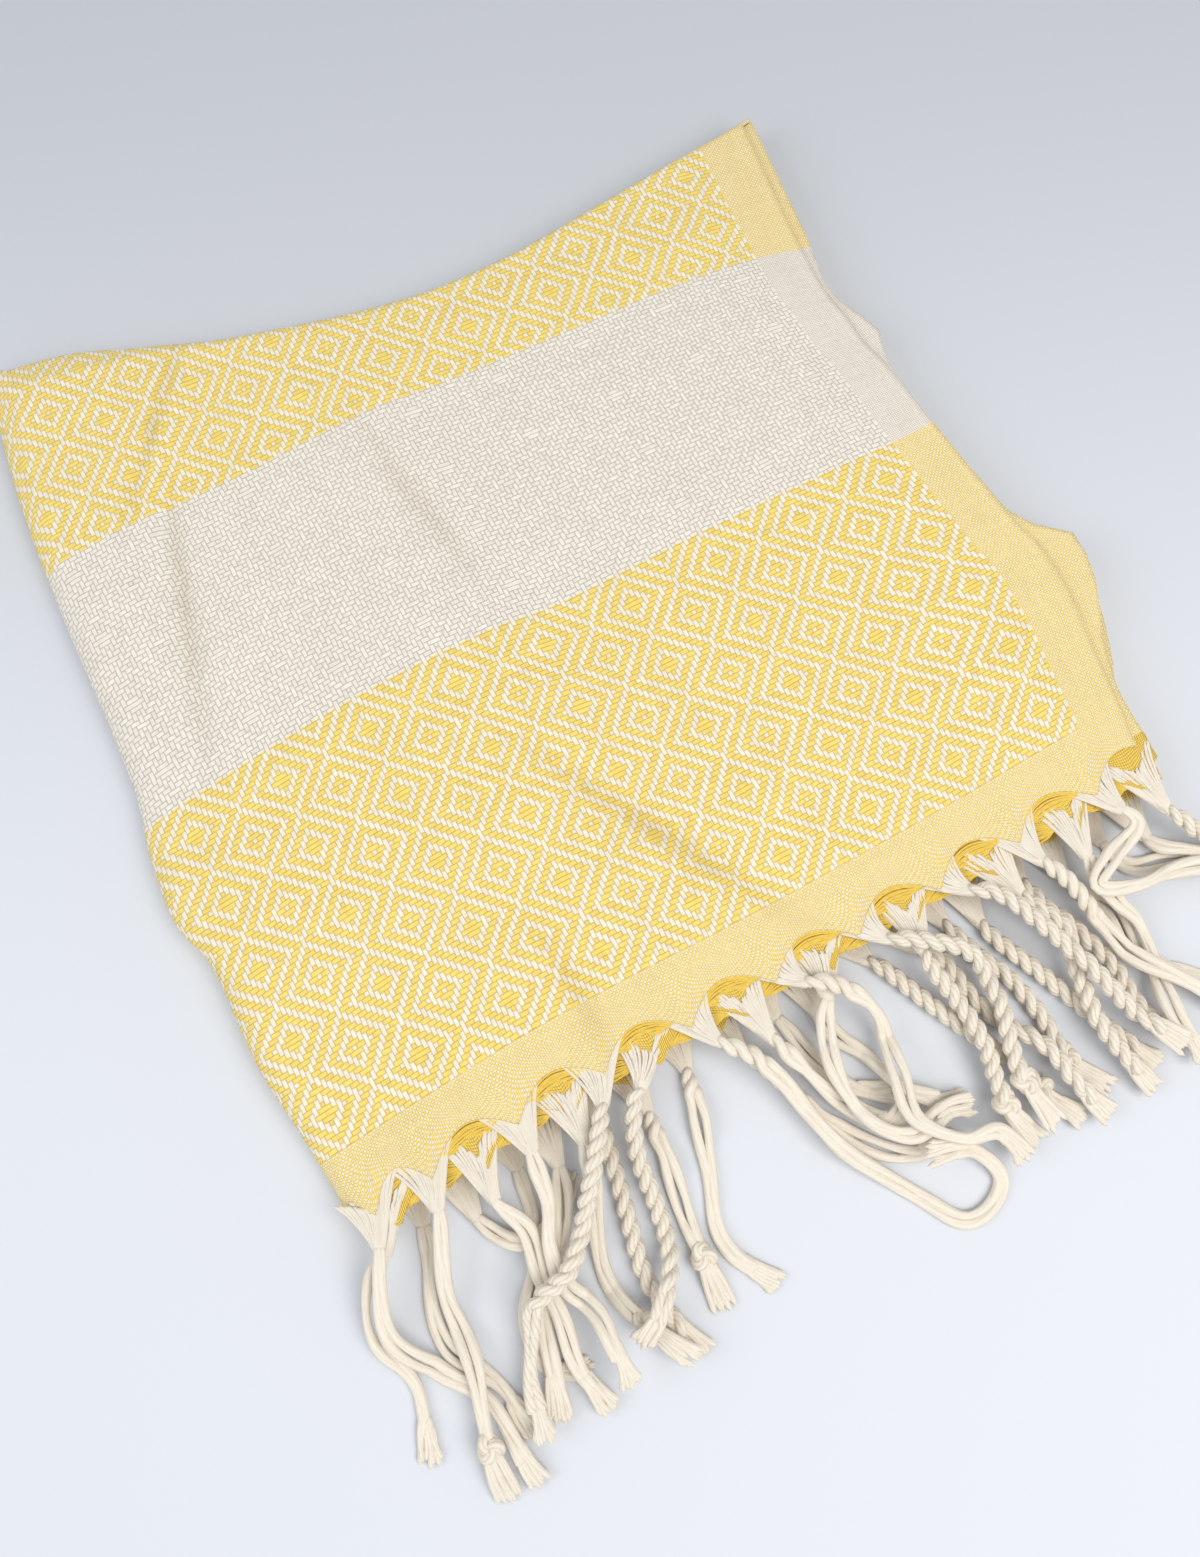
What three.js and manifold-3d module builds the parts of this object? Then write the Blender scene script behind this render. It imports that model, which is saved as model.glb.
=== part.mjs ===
// A fringed, flat-woven hand towel, folded in four along its length and then in
// half across, lying on a table. Millimetres, +Z up. +X runs towards the
// selvedge, -Y towards the fringe. The origin is on the table, under the middle
// of the folded pile.

import * as THREE from "three";
import { mergeVertices } from "three/addons/utils/BufferGeometryUtils.js";
import Module from "manifold-3d";

// Driving sizes of the cloth
const TOWEL_WIDTH = 500;
const TOWEL_LENGTH = 1000;
const SHEET = 1.3;
const LAYER_PITCH = 1.75;
const FOLD_RADIUS = LAYER_PITCH / 2;
const PILE_HALF_WIDTH = TOWEL_WIDTH / 4;
const PILE_FRONT = -120;
const PILE_BACK = PILE_FRONT + TOWEL_LENGTH / 4;
const INNER_END_REACH = 5;
const INNER_FOLD_RECESS = 3;
const OUTER_LAYER = 3 * LAYER_PITCH;
const SECOND_LAYER = 2 * LAYER_PITCH;
const PILE_HEIGHT = 2 * (FOLD_RADIUS + OUTER_LAYER) + SHEET;
const MIDDLE_Z = PILE_HEIGHT / 2;
const SIDE_TURN_X = -PILE_HALF_WIDTH + PILE_HEIGHT / 2;
const BACK_TURN_Y = PILE_BACK - 1.5 * LAYER_PITCH - SHEET / 2;
const FRONT_TURN_Y = PILE_FRONT + INNER_FOLD_RECESS;

// How finely the cloth is divided
const CELLS_ACROSS = 10;
const CELLS_PER_LAYER = 10;
const WIDE_TURN_CELLS = 6;
const TIGHT_TURN_CELLS = 4;

// Driving sizes of the fringe
const SEAM_GAP = 0.35;
const ROOT_STRIP = 2.5;
const CORD_HALF_WIDTH = 2.6;
const CORD_HALF_DEPTH = 2.0;
const LOOSE_HALF_WIDTH = 3.0;
const LOOSE_HALF_DEPTH = 1.2;
const FAN_HALF_WIDTH = 4.2;
const FAN_HALF_DEPTH = 0.6;
const FAN_LENGTH = 8;
const GATHER_LENGTH = 7;
const KNOT_RADIUS = 3.3;
const KNOT_FROM_END = 16;
const KNOT_HALF_LENGTH = 3.5;
const BRUSH_HALF_WIDTH = 3.4;
const BRUSH_HALF_DEPTH = 1.5;
const TWIST_PER_MM = Math.PI / 26;
const CORD_STEP = 5.5;
const CORD_GAP = 0.5;
const HANG_RUN = 9;
const HANG_FALL = 34;
const HUMP_SHARPNESS = 0.03;
const ROOT_PULL = 0.8;
const SAMPLES_PER_LEG = 14;

// The outline of the pile. Each row is a place along the edge, and how far out
// the top, middle and lowest layers reach there.
const LEFT_EDGE = [
  { at: -120, top: -126, middle: -127, low: -127 },
  { at: -100, top: -128, middle: -129, low: -129 },
  { at: -78, top: -131, middle: -132, low: -132 },
  { at: -50, top: -131, middle: -132, low: -132 },
  { at: -38, top: -134, middle: -136, low: -136 },
  { at: -20, top: -133, middle: -135, low: -135 },
  { at: 0, top: -129, middle: -131, low: -131 },
  { at: 50, top: -127, middle: -129, low: -129 },
  { at: 90, top: -124, middle: -126, low: -126 },
  { at: 130, top: -117, middle: -119, low: -119 },
];
const RIGHT_EDGE = [
  { at: -120, top: 123, middle: 126, low: 131 },
  { at: -100, top: 126, middle: 128, low: 130 },
  { at: -80, top: 129, middle: 132, low: 137 },
  { at: -62, top: 132, middle: 138, low: 143 },
  { at: -50, top: 132, middle: 140, low: 145 },
  { at: -36, top: 131, middle: 133, low: 136 },
  { at: 0, top: 127, middle: 128, low: 129 },
  { at: 22, top: 125, middle: 127, low: 129 },
  { at: 40, top: 123, middle: 129, low: 132 },
  { at: 58, top: 122, middle: 125, low: 127 },
  { at: 80, top: 124, middle: 128, low: 130 },
  { at: 130, top: 131, middle: 135, low: 137 },
];
const BACK_EDGE = [
  { at: -125, top: 147, middle: 158, low: 156 },
  { at: -100, top: 142, middle: 153, low: 151 },
  { at: -80, top: 137, middle: 143, low: 142 },
  { at: -60, top: 130, middle: 133, low: 132 },
  { at: -30, top: 121, middle: 123, low: 123 },
  { at: 0, top: 114, middle: 116, low: 116 },
  { at: 30, top: 112, middle: 114, low: 114 },
  { at: 60, top: 114, middle: 116, low: 116 },
  { at: 125, top: 120, middle: 122, low: 122 },
];
const FRONT_EDGE = [
  { at: -125, top: -121, middle: -122, low: -122 },
  { at: -60, top: -118, middle: -119, low: -120 },
  { at: 0, top: -119, middle: -119, low: -120 },
  { at: 60, top: -119, middle: -119, low: -120 },
  { at: 125, top: -117, middle: -121, low: -123 },
];

// Soft creases and swells of the pile: where each lies, which way it runs in
// degrees from +X, its half length and half width, and how far it lifts the top.
const CREASES = [
  { x: -98, y: 48, heading: 78, length: 52, width: 7, lift: -1.3 },
  { x: -108, y: 48, heading: 80, length: 52, width: 7, lift: 0.6 },
  { x: -76, y: 112, heading: 55, length: 34, width: 8, lift: 1.3 },
  { x: -66, y: 106, heading: 55, length: 34, width: 8, lift: -0.8 },
  { x: -4, y: -72, heading: -65, length: 46, width: 9, lift: -1.3 },
  { x: 10, y: -66, heading: -65, length: 50, width: 10, lift: 0.8 },
  { x: -20, y: 48, heading: 100, length: 44, width: 10, lift: -0.9 },
  { x: -46, y: -100, heading: 92, length: 24, width: 8, lift: -1.2 },
  { x: -104, y: -106, heading: 4, length: 34, width: 6, lift: -1.4 },
  { x: -122, y: -112, heading: 40, length: 30, width: 24, lift: -2.0 },
  { x: 66, y: 24, heading: 24, length: 90, width: 46, lift: 1.4 },
  { x: -64, y: -36, heading: 60, length: 70, width: 40, lift: 1.2 },
  { x: 122, y: 60, heading: 88, length: 90, width: 16, lift: -1.2 },
  { x: 126, y: -60, heading: 94, length: 60, width: 14, lift: -1.6 },
  { x: 0, y: -122, heading: 0, length: 160, width: 12, lift: -1.2 },
];

// The tassels. Each row is a root's place along its edge, how far from the root
// the cord keeps its twist before it lies loose and flat, whether it is knotted,
// and the places that it passes on the way to its end.
const OUTER_TOP_TASSELS = [
  { root: -118, twist: 0, knot: false, route: [
    [-126, -140], [-129, -153], [-124, -166], [-115, -180], [-113, -203]] },
  { root: -101, twist: 0, knot: true, route: [
    [-108, -138], [-113, -152], [-115, -168], [-119, -184], [-122, -203]] },
  { root: -75, twist: 0, knot: false, route: [
    [-78, -140], [-84, -152], [-85, -163], [-80, -174], [-81, -192]] },
  { root: -49, twist: 64, knot: false, route: [
    [-58, -132], [-69, -146], [-81, -159], [-94, -163], [-102, -176], [-107, -194]] },
  { root: -23, twist: 24, knot: false, route: [
    [-13, -138], [-8, -158], [1, -179], [14, -199], [28, -196], [25, -184], [12, -179]] },
  { root: 3, twist: 22, knot: false, route: [
    [14, -130], [21, -143], [18, -157], [15, -170], [23, -180], [33, -184], [36, -195]] },
  { root: 29, twist: 90, knot: true, route: [
    [40, -131], [51, -141], [52, -154], [48, -166], [46, -177], [48, -192]] },
  { root: 55, twist: 90, knot: false, route: [
    [65, -130], [71, -143], [76, -156], [80, -171], [89, -190]] },
  { root: 81, twist: 30, knot: false, route: [
    [85, -137], [88, -150], [91, -163], [98, -175], [110, -190]] },
  { root: 107, twist: 0, knot: false, route: [
    [110, -132], [99, -137], [91, -142], [101, -147], [120, -151], [146, -163]] },
];
const INNER_TOP_TASSELS = [
  { root: -114, twist: 0, knot: false, route: [
    [-127, -138], [-134, -152], [-131, -168], [-136, -186]] },
  { root: -88, twist: 0, knot: false, route: [
    [-91, -135], [-87, -146], [-90, -158], [-90, -171], [-91, -183], [-89, -196]] },
  { root: -62, twist: 0, knot: true, route: [
    [-65, -140], [-72, -154], [-75, -166], [-72, -179], [-64, -195]] },
  { root: -36, twist: 62, knot: false, route: [
    [-47, -131], [-53, -143], [-55, -157], [-58, -170], [-66, -179], [-76, -184]] },
  { root: -10, twist: 16, knot: false, route: [
    [-6, -138], [-2, -150], [3, -160], [9, -168], [18, -166]] },
  { root: 16, twist: 8, knot: false, route: [
    [9, -136], [3, -149], [4, -163], [12, -173], [24, -173], [33, -176]] },
  { root: 42, twist: 90, knot: true, route: [
    [40, -138], [42, -151], [42, -163], [40, -173], [39, -182], [43, -194]] },
  { root: 68, twist: 90, knot: false, route: [
    [73, -137], [78, -149], [74, -162], [72, -175], [77, -197]] },
  { root: 94, twist: 0, knot: false, route: [
    [93, -137], [95, -148], [98, -157], [95, -169], [91, -183], [93, -197]] },
  { root: 116, twist: 40, knot: false, route: [
    [122, -137], [128, -147], [139, -151], [162, -155]] },
];
const OUTER_LOWER_TASSELS = [
  { root: -108, twist: 0, knot: false, route: [
    [-113, -136], [-118, -150], [-119, -163], [-112, -177], [-108, -193]] },
  { root: -82, twist: 0, knot: false, route: [
    [-84, -140], [-90, -155], [-98, -167], [-99, -179], [-88, -185]] },
  { root: -56, twist: 90, knot: false, route: [
    [-60, -142], [-63, -156], [-66, -170], [-65, -182], [-61, -196]] },
  { root: -30, twist: 16, knot: false, route: [
    [-33, -140], [-38, -154], [-43, -169], [-42, -180], [-36, -191]] },
  { root: -4, twist: 0, knot: false, route: [
    [-1, -139], [4, -152], [10, -160], [17, -164]] },
  { root: 22, twist: 90, knot: true, route: [
    [30, -133], [36, -147], [42, -160], [48, -172], [51, -184], [57, -195]] },
  { root: 48, twist: 90, knot: true, route: [
    [54, -140], [59, -152], [61, -165], [61, -178], [68, -191]] },
  { root: 74, twist: 90, knot: false, route: [
    [78, -138], [82, -148], [86, -162], [86, -176], [92, -190]] },
  { root: 100, twist: 0, knot: false, route: [
    [105, -141], [117, -146], [142, -152]] },
];
const INNER_LOWER_TASSELS = [
  { root: -97, twist: 0, knot: false, route: [
    [-98, -139], [-90, -148], [-79, -147], [-71, -138]] },
  { root: -71, twist: 0, knot: false, route: [
    [-74, -140], [-81, -152], [-91, -163], [-97, -177], [-102, -192]] },
  { root: -45, twist: 16, knot: true, route: [
    [-46, -140], [-48, -154], [-50, -168], [-51, -180], [-52, -190]] },
  { root: -19, twist: 30, knot: false, route: [
    [-12, -140], [-6, -157], [2, -171], [12, -179], [25, -182]] },
  { root: 7, twist: 0, knot: false, route: [
    [9, -141], [14, -151], [17, -162], [24, -170], [32, -174]] },
  { root: 33, twist: 90, knot: false, route: [
    [45, -137], [47, -149], [50, -160], [56, -171], [58, -183], [63, -197]] },
  { root: 59, twist: 90, knot: false, route: [
    [61, -139], [66, -152], [71, -165], [76, -178], [83, -192]] },
  { root: 85, twist: 0, knot: false, route: [
    [89, -139], [95, -150], [94, -161], [99, -170], [107, -180]] },
  { root: 111, twist: 0, knot: false, route: [
    [115, -139], [123, -147], [134, -158], [150, -166]] },
];

const wasm = await Module();
wasm.setup();

function smoothBetween(low, high, value) {
  return THREE.MathUtils.smoothstep(value, low, high);
}

// The value of one column of a table at a place, on a smooth curve through the
// table's rows.
function onTable(rows, column, place) {
  const last = rows.length - 1;
  const at = THREE.MathUtils.clamp(place, rows[0].at, rows[last].at);
  let row = 0;
  while (row < last - 1 && at > rows[row + 1].at) row += 1;
  const before = rows[Math.max(row - 1, 0)];
  const start = rows[row];
  const end = rows[row + 1];
  const after = rows[Math.min(row + 2, last)];
  const span = end.at - start.at;
  const part = (at - start.at) / span;
  const startSlope = ((end[column] - before[column]) / (end.at - before.at)) * span;
  const endSlope = ((after[column] - start[column]) / (after.at - start.at)) * span;
  const square = part * part;
  const cube = square * part;
  return (2 * cube - 3 * square + 1) * start[column]
    + (cube - 2 * square + part) * startSlope
    + (3 * square - 2 * cube) * end[column]
    + (cube - square) * endSlope;
}

// An edge's place at a height: the middle layers' column halfway up.
function edgeAt(rows, place, height) {
  const part = THREE.MathUtils.clamp(height / PILE_HEIGHT, 0, 1);
  const middle = onTable(rows, "middle", place);
  if (part < 0.5) {
    return THREE.MathUtils.lerp(onTable(rows, "low", place), middle, smoothBetween(0, 0.5, part));
  }
  return THREE.MathUtils.lerp(middle, onTable(rows, "top", place), smoothBetween(0.5, 1, part));
}

function creaseLift(x, y) {
  let lift = 0;
  for (const crease of CREASES) {
    const heading = THREE.MathUtils.degToRad(crease.heading);
    const dx = x - crease.x;
    const dy = y - crease.y;
    const along = (dx * Math.cos(heading) + dy * Math.sin(heading)) / crease.length;
    const aside = (dy * Math.cos(heading) - dx * Math.sin(heading)) / crease.width;
    lift += crease.lift * Math.exp(-along * along - aside * aside);
  }
  return lift;
}

// Moves a point of the neat rectangular pile to its place in the uneven one.
function settle(x, y, z) {
  const across = (x + PILE_HALF_WIDTH) / (2 * PILE_HALF_WIDTH);
  const back = (y - PILE_FRONT) / (PILE_BACK - PILE_FRONT);
  const left = edgeAt(LEFT_EDGE, y, z);
  const right = edgeAt(RIGHT_EDGE, y, z);
  const front = edgeAt(FRONT_EDGE, x, z);
  const rear = edgeAt(BACK_EDGE, x, z);
  const settledX = THREE.MathUtils.lerp(left, right, across);
  const settledY = THREE.MathUtils.lerp(front, rear, back);
  const settledZ = z * (1 + creaseLift(settledX, settledY) / PILE_HEIGHT);
  return new THREE.Vector3(settledX, settledY, settledZ);
}

// The path across the towel: along the top half to the left, round the side
// fold, and back along the lower half. Each stop is a straight place or an angle.
function acrossStops() {
  const stops = [];
  const run = PILE_HALF_WIDTH - SIDE_TURN_X;
  for (let i = 0; i <= CELLS_ACROSS; i += 1) {
    stops.push({ x: PILE_HALF_WIDTH - (run * i) / CELLS_ACROSS, angle: 0 });
  }
  for (let i = 1; i <= WIDE_TURN_CELLS; i += 1) {
    stops.push({ x: SIDE_TURN_X, angle: (Math.PI * i) / WIDE_TURN_CELLS });
  }
  for (let i = 1; i <= CELLS_ACROSS; i += 1) {
    stops.push({ x: SIDE_TURN_X + (run * i) / CELLS_ACROSS, angle: Math.PI });
  }
  return stops;
}

// The path along the towel, from the outer fringed end to the inner one. Each
// stop has its place front to back, how many millimetres its layer lies outside
// the innermost one, and the direction in which the cloth's face looks.
function alongStops() {
  const stops = [];
  const addRun = (from, to, layer, face) => {
    for (let i = 0; i <= CELLS_PER_LAYER; i += 1) {
      const y = from + ((to - from) * i) / CELLS_PER_LAYER;
      stops.push({ y, layer, faceY: 0, faceOut: face });
    }
  };
  const addTurn = (y, layer, radius, cells, side, startOut, outward) => {
    for (let i = 1; i < cells; i += 1) {
      const angle = (Math.PI * i) / cells;
      const dy = side * Math.sin(angle);
      const out = startOut * Math.cos(angle);
      stops.push({
        y: y + radius * dy,
        layer: layer + radius * out,
        faceY: outward * dy,
        faceOut: outward * out,
      });
    }
  };
  stops.push({ y: PILE_FRONT, layer: OUTER_LAYER, faceY: 0, faceOut: 1 });
  addRun(FRONT_TURN_Y, BACK_TURN_Y, OUTER_LAYER, 1);
  addTurn(BACK_TURN_Y, 1.5 * LAYER_PITCH, 1.5 * LAYER_PITCH, WIDE_TURN_CELLS, 1, 1, 1);
  addRun(BACK_TURN_Y, FRONT_TURN_Y, 0, -1);
  addTurn(FRONT_TURN_Y, 0.5 * LAYER_PITCH, 0.5 * LAYER_PITCH, TIGHT_TURN_CELLS, -1, -1, 1);
  addRun(FRONT_TURN_Y, BACK_TURN_Y, LAYER_PITCH, 1);
  addTurn(BACK_TURN_Y, 1.5 * LAYER_PITCH, 0.5 * LAYER_PITCH, TIGHT_TURN_CELLS, 1, -1, -1);
  addRun(BACK_TURN_Y, FRONT_TURN_Y, SECOND_LAYER, -1);
  stops.push({ y: PILE_FRONT, layer: SECOND_LAYER, faceY: 0, faceOut: -1 });
  stops.push({ y: PILE_FRONT - INNER_END_REACH, layer: SECOND_LAYER, faceY: 0, faceOut: -1 });
  return stops;
}

// A point of the neat pile: a stop across, a stop along and a lift off the
// sheet's middle towards its face.
function neatPlace(across, along, lift) {
  const radius = FOLD_RADIUS + along.layer + lift * along.faceOut;
  return new THREE.Vector3(
    across.x - radius * Math.sin(across.angle),
    along.y + lift * along.faceY,
    MIDDLE_Z + radius * Math.cos(across.angle),
  );
}

// Bends a finely divided box into a folded sheet. Its cells are cut along the
// same diagonal in every layer, so that neighbouring layers keep their gap.
function foldedSheet(acrossList, alongList) {
  const acrossCells = acrossList.length - 1;
  const alongCells = alongList.length - 1;
  const box = new THREE.BoxGeometry(1, 1, 1, acrossCells, alongCells, 1);
  box.deleteAttribute("normal");
  box.deleteAttribute("uv");
  const sheet = mergeVertices(box, 1e-6);
  const places = sheet.getAttribute("position");
  const neat = [];
  for (let i = 0; i < places.count; i += 1) {
    const across = acrossList[Math.round((0.5 - places.getX(i)) * acrossCells)];
    const along = alongList[Math.round((places.getY(i) + 0.5) * alongCells)];
    const place = neatPlace(across, along, places.getZ(i) * SHEET);
    neat.push(place);
    const settled = settle(place.x, place.y, place.z);
    places.setXYZ(i, settled.x, settled.y, settled.z);
  }
  sheet.setIndex(matchedDiagonals(Array.from(sheet.getIndex().array), neat));
  return sheet;
}

function matchedDiagonals(corners, neat) {
  const matched = [];
  for (let i = 0; i < corners.length; i += 6) {
    const [a, b, d, , c] = corners.slice(i, i + 6);
    const slope = (neat[b].x - neat[d].x) * (neat[b].y - neat[d].y);
    if (slope < 0) matched.push(a, b, c, a, c, d);
    else matched.push(a, b, d, b, c, d);
  }
  return matched;
}

// The narrow strip of gathered warp yarns just outside a fringed end. It follows
// the end round the side fold.
function rootStrip(edgeY, layer) {
  const stops = [
    { y: edgeY - SEAM_GAP - ROOT_STRIP, layer, faceY: 0, faceOut: 1 },
    { y: edgeY - SEAM_GAP, layer, faceY: 0, faceOut: 1 },
  ];
  return foldedSheet(acrossStops(), stops);
}

// A point on a smooth curve through the plan points.
function onRoute(points, part) {
  const pieces = points.length - 1;
  const piece = Math.min(Math.floor(part * pieces), pieces - 1);
  const t = part * pieces - piece;
  const start = points[piece];
  const end = points[piece + 1];
  const before = piece > 0 ? points[piece - 1] : start.clone();
  const after = piece + 2 <= pieces ? points[piece + 2] : end.clone();
  const startSlope = end.clone().sub(before).multiplyScalar(0.5);
  const endSlope = after.clone().sub(start).multiplyScalar(0.5);
  if (piece === 0) startSlope.set(0, -ROOT_PULL * start.distanceTo(end));
  return start.clone().multiplyScalar(2 * t ** 3 - 3 * t ** 2 + 1)
    .addScaledVector(startSlope, t ** 3 - 2 * t ** 2 + t)
    .addScaledVector(end, 3 * t ** 2 - 2 * t ** 3)
    .addScaledVector(endSlope, t ** 3 - t ** 2);
}

// A cord's route in plan as close-set points, each with its distance from the
// root.
function planRoute(points) {
  const samples = SAMPLES_PER_LEG * (points.length - 1);
  const route = [];
  let travelled = 0;
  for (let i = 0; i <= samples; i += 1) {
    const point = onRoute(points, i / samples);
    if (i > 0) travelled += point.distanceTo(route[i - 1].point);
    route.push({ point, travelled });
  }
  return route;
}

// Half the width and half the depth of a cord at a distance from its root: a
// flat fan, a gathered round cord, a loose flat part, a knot, and a brush.
function cordSection(row, travelled, length) {
  const gathered = smoothBetween(FAN_LENGTH, FAN_LENGTH + GATHER_LENGTH, travelled);
  const loose = smoothBetween(row.twist, row.twist + GATHER_LENGTH, travelled);
  const knot = length - KNOT_FROM_END;
  const brush = smoothBetween(knot + KNOT_HALF_LENGTH, length, travelled);
  const tied = row.knot ? Math.max(0, 1 - ((travelled - knot) / KNOT_HALF_LENGTH) ** 2) : 0;
  let width = THREE.MathUtils.lerp(CORD_HALF_WIDTH, LOOSE_HALF_WIDTH, loose);
  let depth = THREE.MathUtils.lerp(CORD_HALF_DEPTH, LOOSE_HALF_DEPTH, loose);
  width = THREE.MathUtils.lerp(FAN_HALF_WIDTH, width, gathered);
  depth = THREE.MathUtils.lerp(FAN_HALF_DEPTH, depth, gathered);
  width = THREE.MathUtils.lerp(width, KNOT_RADIUS, tied);
  depth = THREE.MathUtils.lerp(depth, KNOT_RADIUS, tied);
  width = THREE.MathUtils.lerp(width, BRUSH_HALF_WIDTH, brush);
  depth = THREE.MathUtils.lerp(depth, BRUSH_HALF_DEPTH, brush);
  const turning = gathered === 1 && loose < 1 && brush < 0.5;
  return { width, depth, room: turning ? Math.max(width, depth) : depth };
}

// Lays one cord over those already laid: it hangs from its root to the table,
// rests on the table, and passes over what it crosses in a long low hump.
function layCord(row, points, rootZ, laid) {
  const route = planRoute(points);
  const length = route[route.length - 1].travelled;
  for (const step of route) {
    const section = cordSection(row, step.travelled, length);
    step.width = section.width;
    step.room = section.room;
    const fall = smoothBetween(HANG_RUN, HANG_RUN + HANG_FALL, step.travelled);
    let rest = Math.max(step.room, THREE.MathUtils.lerp(rootZ, step.room, fall));
    for (const under of laid) {
      for (const other of under) {
        const reach = step.width + other.width + CORD_GAP;
        const apart = step.point.distanceTo(other.point) / reach;
        const lift = step.room + other.room + CORD_GAP;
        if (apart < 1) rest = Math.max(rest, other.z + lift * Math.sqrt(1 - apart * apart));
      }
    }
    step.rest = step.travelled < FAN_LENGTH ? rootZ : rest;
  }
  for (const step of route) {
    step.z = step.rest;
    for (const other of route) {
      const apart = step.travelled - other.travelled;
      step.z = Math.max(step.z, other.rest - HUMP_SHARPNESS * apart * apart);
    }
    if (step.travelled < FAN_LENGTH) step.z = rootZ;
  }
  laid.push(route);
  return { row, route, length };
}

function routeAt(route, travelled) {
  let i = 1;
  while (i < route.length - 1 && route[i].travelled < travelled) i += 1;
  const before = route[i - 1];
  const after = route[i];
  const part = (travelled - before.travelled) / (after.travelled - before.travelled);
  const plan = before.point.clone().lerp(after.point, part);
  return new THREE.Vector3(plan.x, plan.y, THREE.MathUtils.lerp(before.z, after.z, part));
}

// Where a cord's solid has its sections, and how far each is turned. The twist
// adds up to whole half turns, so that the loose part lies flat again.
function cordStations(row, length) {
  const knot = length - KNOT_FROM_END;
  const start = FAN_LENGTH + GATHER_LENGTH;
  const end = knot - KNOT_HALF_LENGTH;
  const steps = Math.max(2, Math.round((end - start) / CORD_STEP));
  const twisted = Math.max(0, Math.min(row.twist, end) - start);
  const wholeTurn = Math.PI * Math.round((twisted * TWIST_PER_MM) / Math.PI);
  const stations = [
    { travelled: 0, turn: 0 },
    { travelled: FAN_LENGTH, turn: 0 },
    { travelled: FAN_LENGTH + GATHER_LENGTH / 2, turn: 0 },
  ];
  for (let i = 0; i <= steps; i += 1) {
    const travelled = start + ((end - start) * i) / steps;
    const part = twisted > 0 ? Math.min(1, (travelled - start) / twisted) : 1;
    stations.push({ travelled, turn: wholeTurn * part });
  }
  for (const travelled of [knot, knot + KNOT_HALF_LENGTH, length - KNOT_FROM_END / 3, length]) {
    stations.push({ travelled, turn: wholeTurn });
  }
  return stations;
}

// The solid of one laid cord: a four-sided column bent along its route, flat at
// the fan, turning like a twisted cord, and swollen at the knot.
function cordSolid({ row, route, length }) {
  const stations = cordStations(row, length);
  const steps = stations.length - 1;
  const column = new THREE.CylinderGeometry(1, 1, 1, 4, steps);
  column.deleteAttribute("normal");
  column.deleteAttribute("uv");
  const cord = mergeVertices(column, 1e-6);
  const places = cord.getAttribute("position");
  for (let i = 0; i < places.count; i += 1) {
    const { travelled, turn } = stations[Math.round((0.5 - places.getY(i)) * steps)];
    const section = cordSection(row, travelled, length);
    const centre = routeAt(route, travelled);
    const ahead = routeAt(route, Math.min(travelled + 1, length));
    const behind = routeAt(route, Math.max(travelled - 1, 0));
    const forward = ahead.sub(behind).normalize();
    const side = new THREE.Vector3(-forward.y, forward.x, 0).normalize();
    const up = forward.clone().cross(side);
    const wide = places.getX(i) * section.width;
    const deep = places.getZ(i) * section.depth;
    const turnedWide = wide * Math.cos(turn) - deep * Math.sin(turn);
    const turnedDeep = wide * Math.sin(turn) + deep * Math.cos(turn);
    centre.addScaledVector(side, turnedWide).addScaledVector(up, turnedDeep);
    places.setXYZ(i, centre.x, centre.y, Math.max(centre.z, 0));
  }
  return cord;
}

function toSolid(geometry) {
  const vertProperties = new Float32Array(geometry.getAttribute("position").array);
  const triVerts = new Uint32Array(geometry.getIndex().array);
  return new wasm.Manifold(new wasm.Mesh({ numProp: 3, vertProperties, triVerts }));
}

function toGeometry(solid) {
  const mesh = solid.getMesh();
  const geometry = new THREE.BufferGeometry();
  geometry.setAttribute("position", new THREE.BufferAttribute(mesh.vertProperties, 3));
  geometry.setIndex(new THREE.BufferAttribute(mesh.triVerts, 1));
  return geometry;
}

// A tassel's root on its strip: the settled middle of the strip's front edge.
function rootPlace(x, edgeY, layer, upper) {
  const across = { x, angle: upper ? 0 : Math.PI };
  const along = { y: edgeY - SEAM_GAP - ROOT_STRIP / 2, layer, faceY: 0, faceOut: 1 };
  const place = neatPlace(across, along, 0);
  return settle(place.x, place.y, place.z);
}

// Lays all the cords of one edge, in the order of its table.
function layEdge(rows, edgeY, layer, upper, laid) {
  const cords = [];
  for (const row of rows) {
    const root = rootPlace(row.root, edgeY, layer, upper);
    const points = [new THREE.Vector2(root.x, root.y)];
    for (const [x, y] of row.route) points.push(new THREE.Vector2(x, y));
    cords.push(layCord(row, points, root.z, laid));
  }
  return cords;
}

const OUTER_EDGE_Y = PILE_FRONT;
const INNER_EDGE_Y = PILE_FRONT - INNER_END_REACH;
const laid = [];
const outerLower = layEdge(OUTER_LOWER_TASSELS, OUTER_EDGE_Y, OUTER_LAYER, false, laid);
const innerLower = layEdge(INNER_LOWER_TASSELS, INNER_EDGE_Y, SECOND_LAYER, false, laid);
const innerUpper = layEdge(INNER_TOP_TASSELS, INNER_EDGE_Y, SECOND_LAYER, true, laid);
const outerUpper = layEdge(OUTER_TOP_TASSELS, OUTER_EDGE_Y, OUTER_LAYER, true, laid);
const outerCords = [...outerLower, ...outerUpper];
const innerCords = [...innerLower, ...innerUpper];

function fringe(strip, cords) {
  let solid = toSolid(strip);
  for (const cord of cords) solid = solid.add(toSolid(cordSolid(cord)));
  return toGeometry(solid);
}

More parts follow.
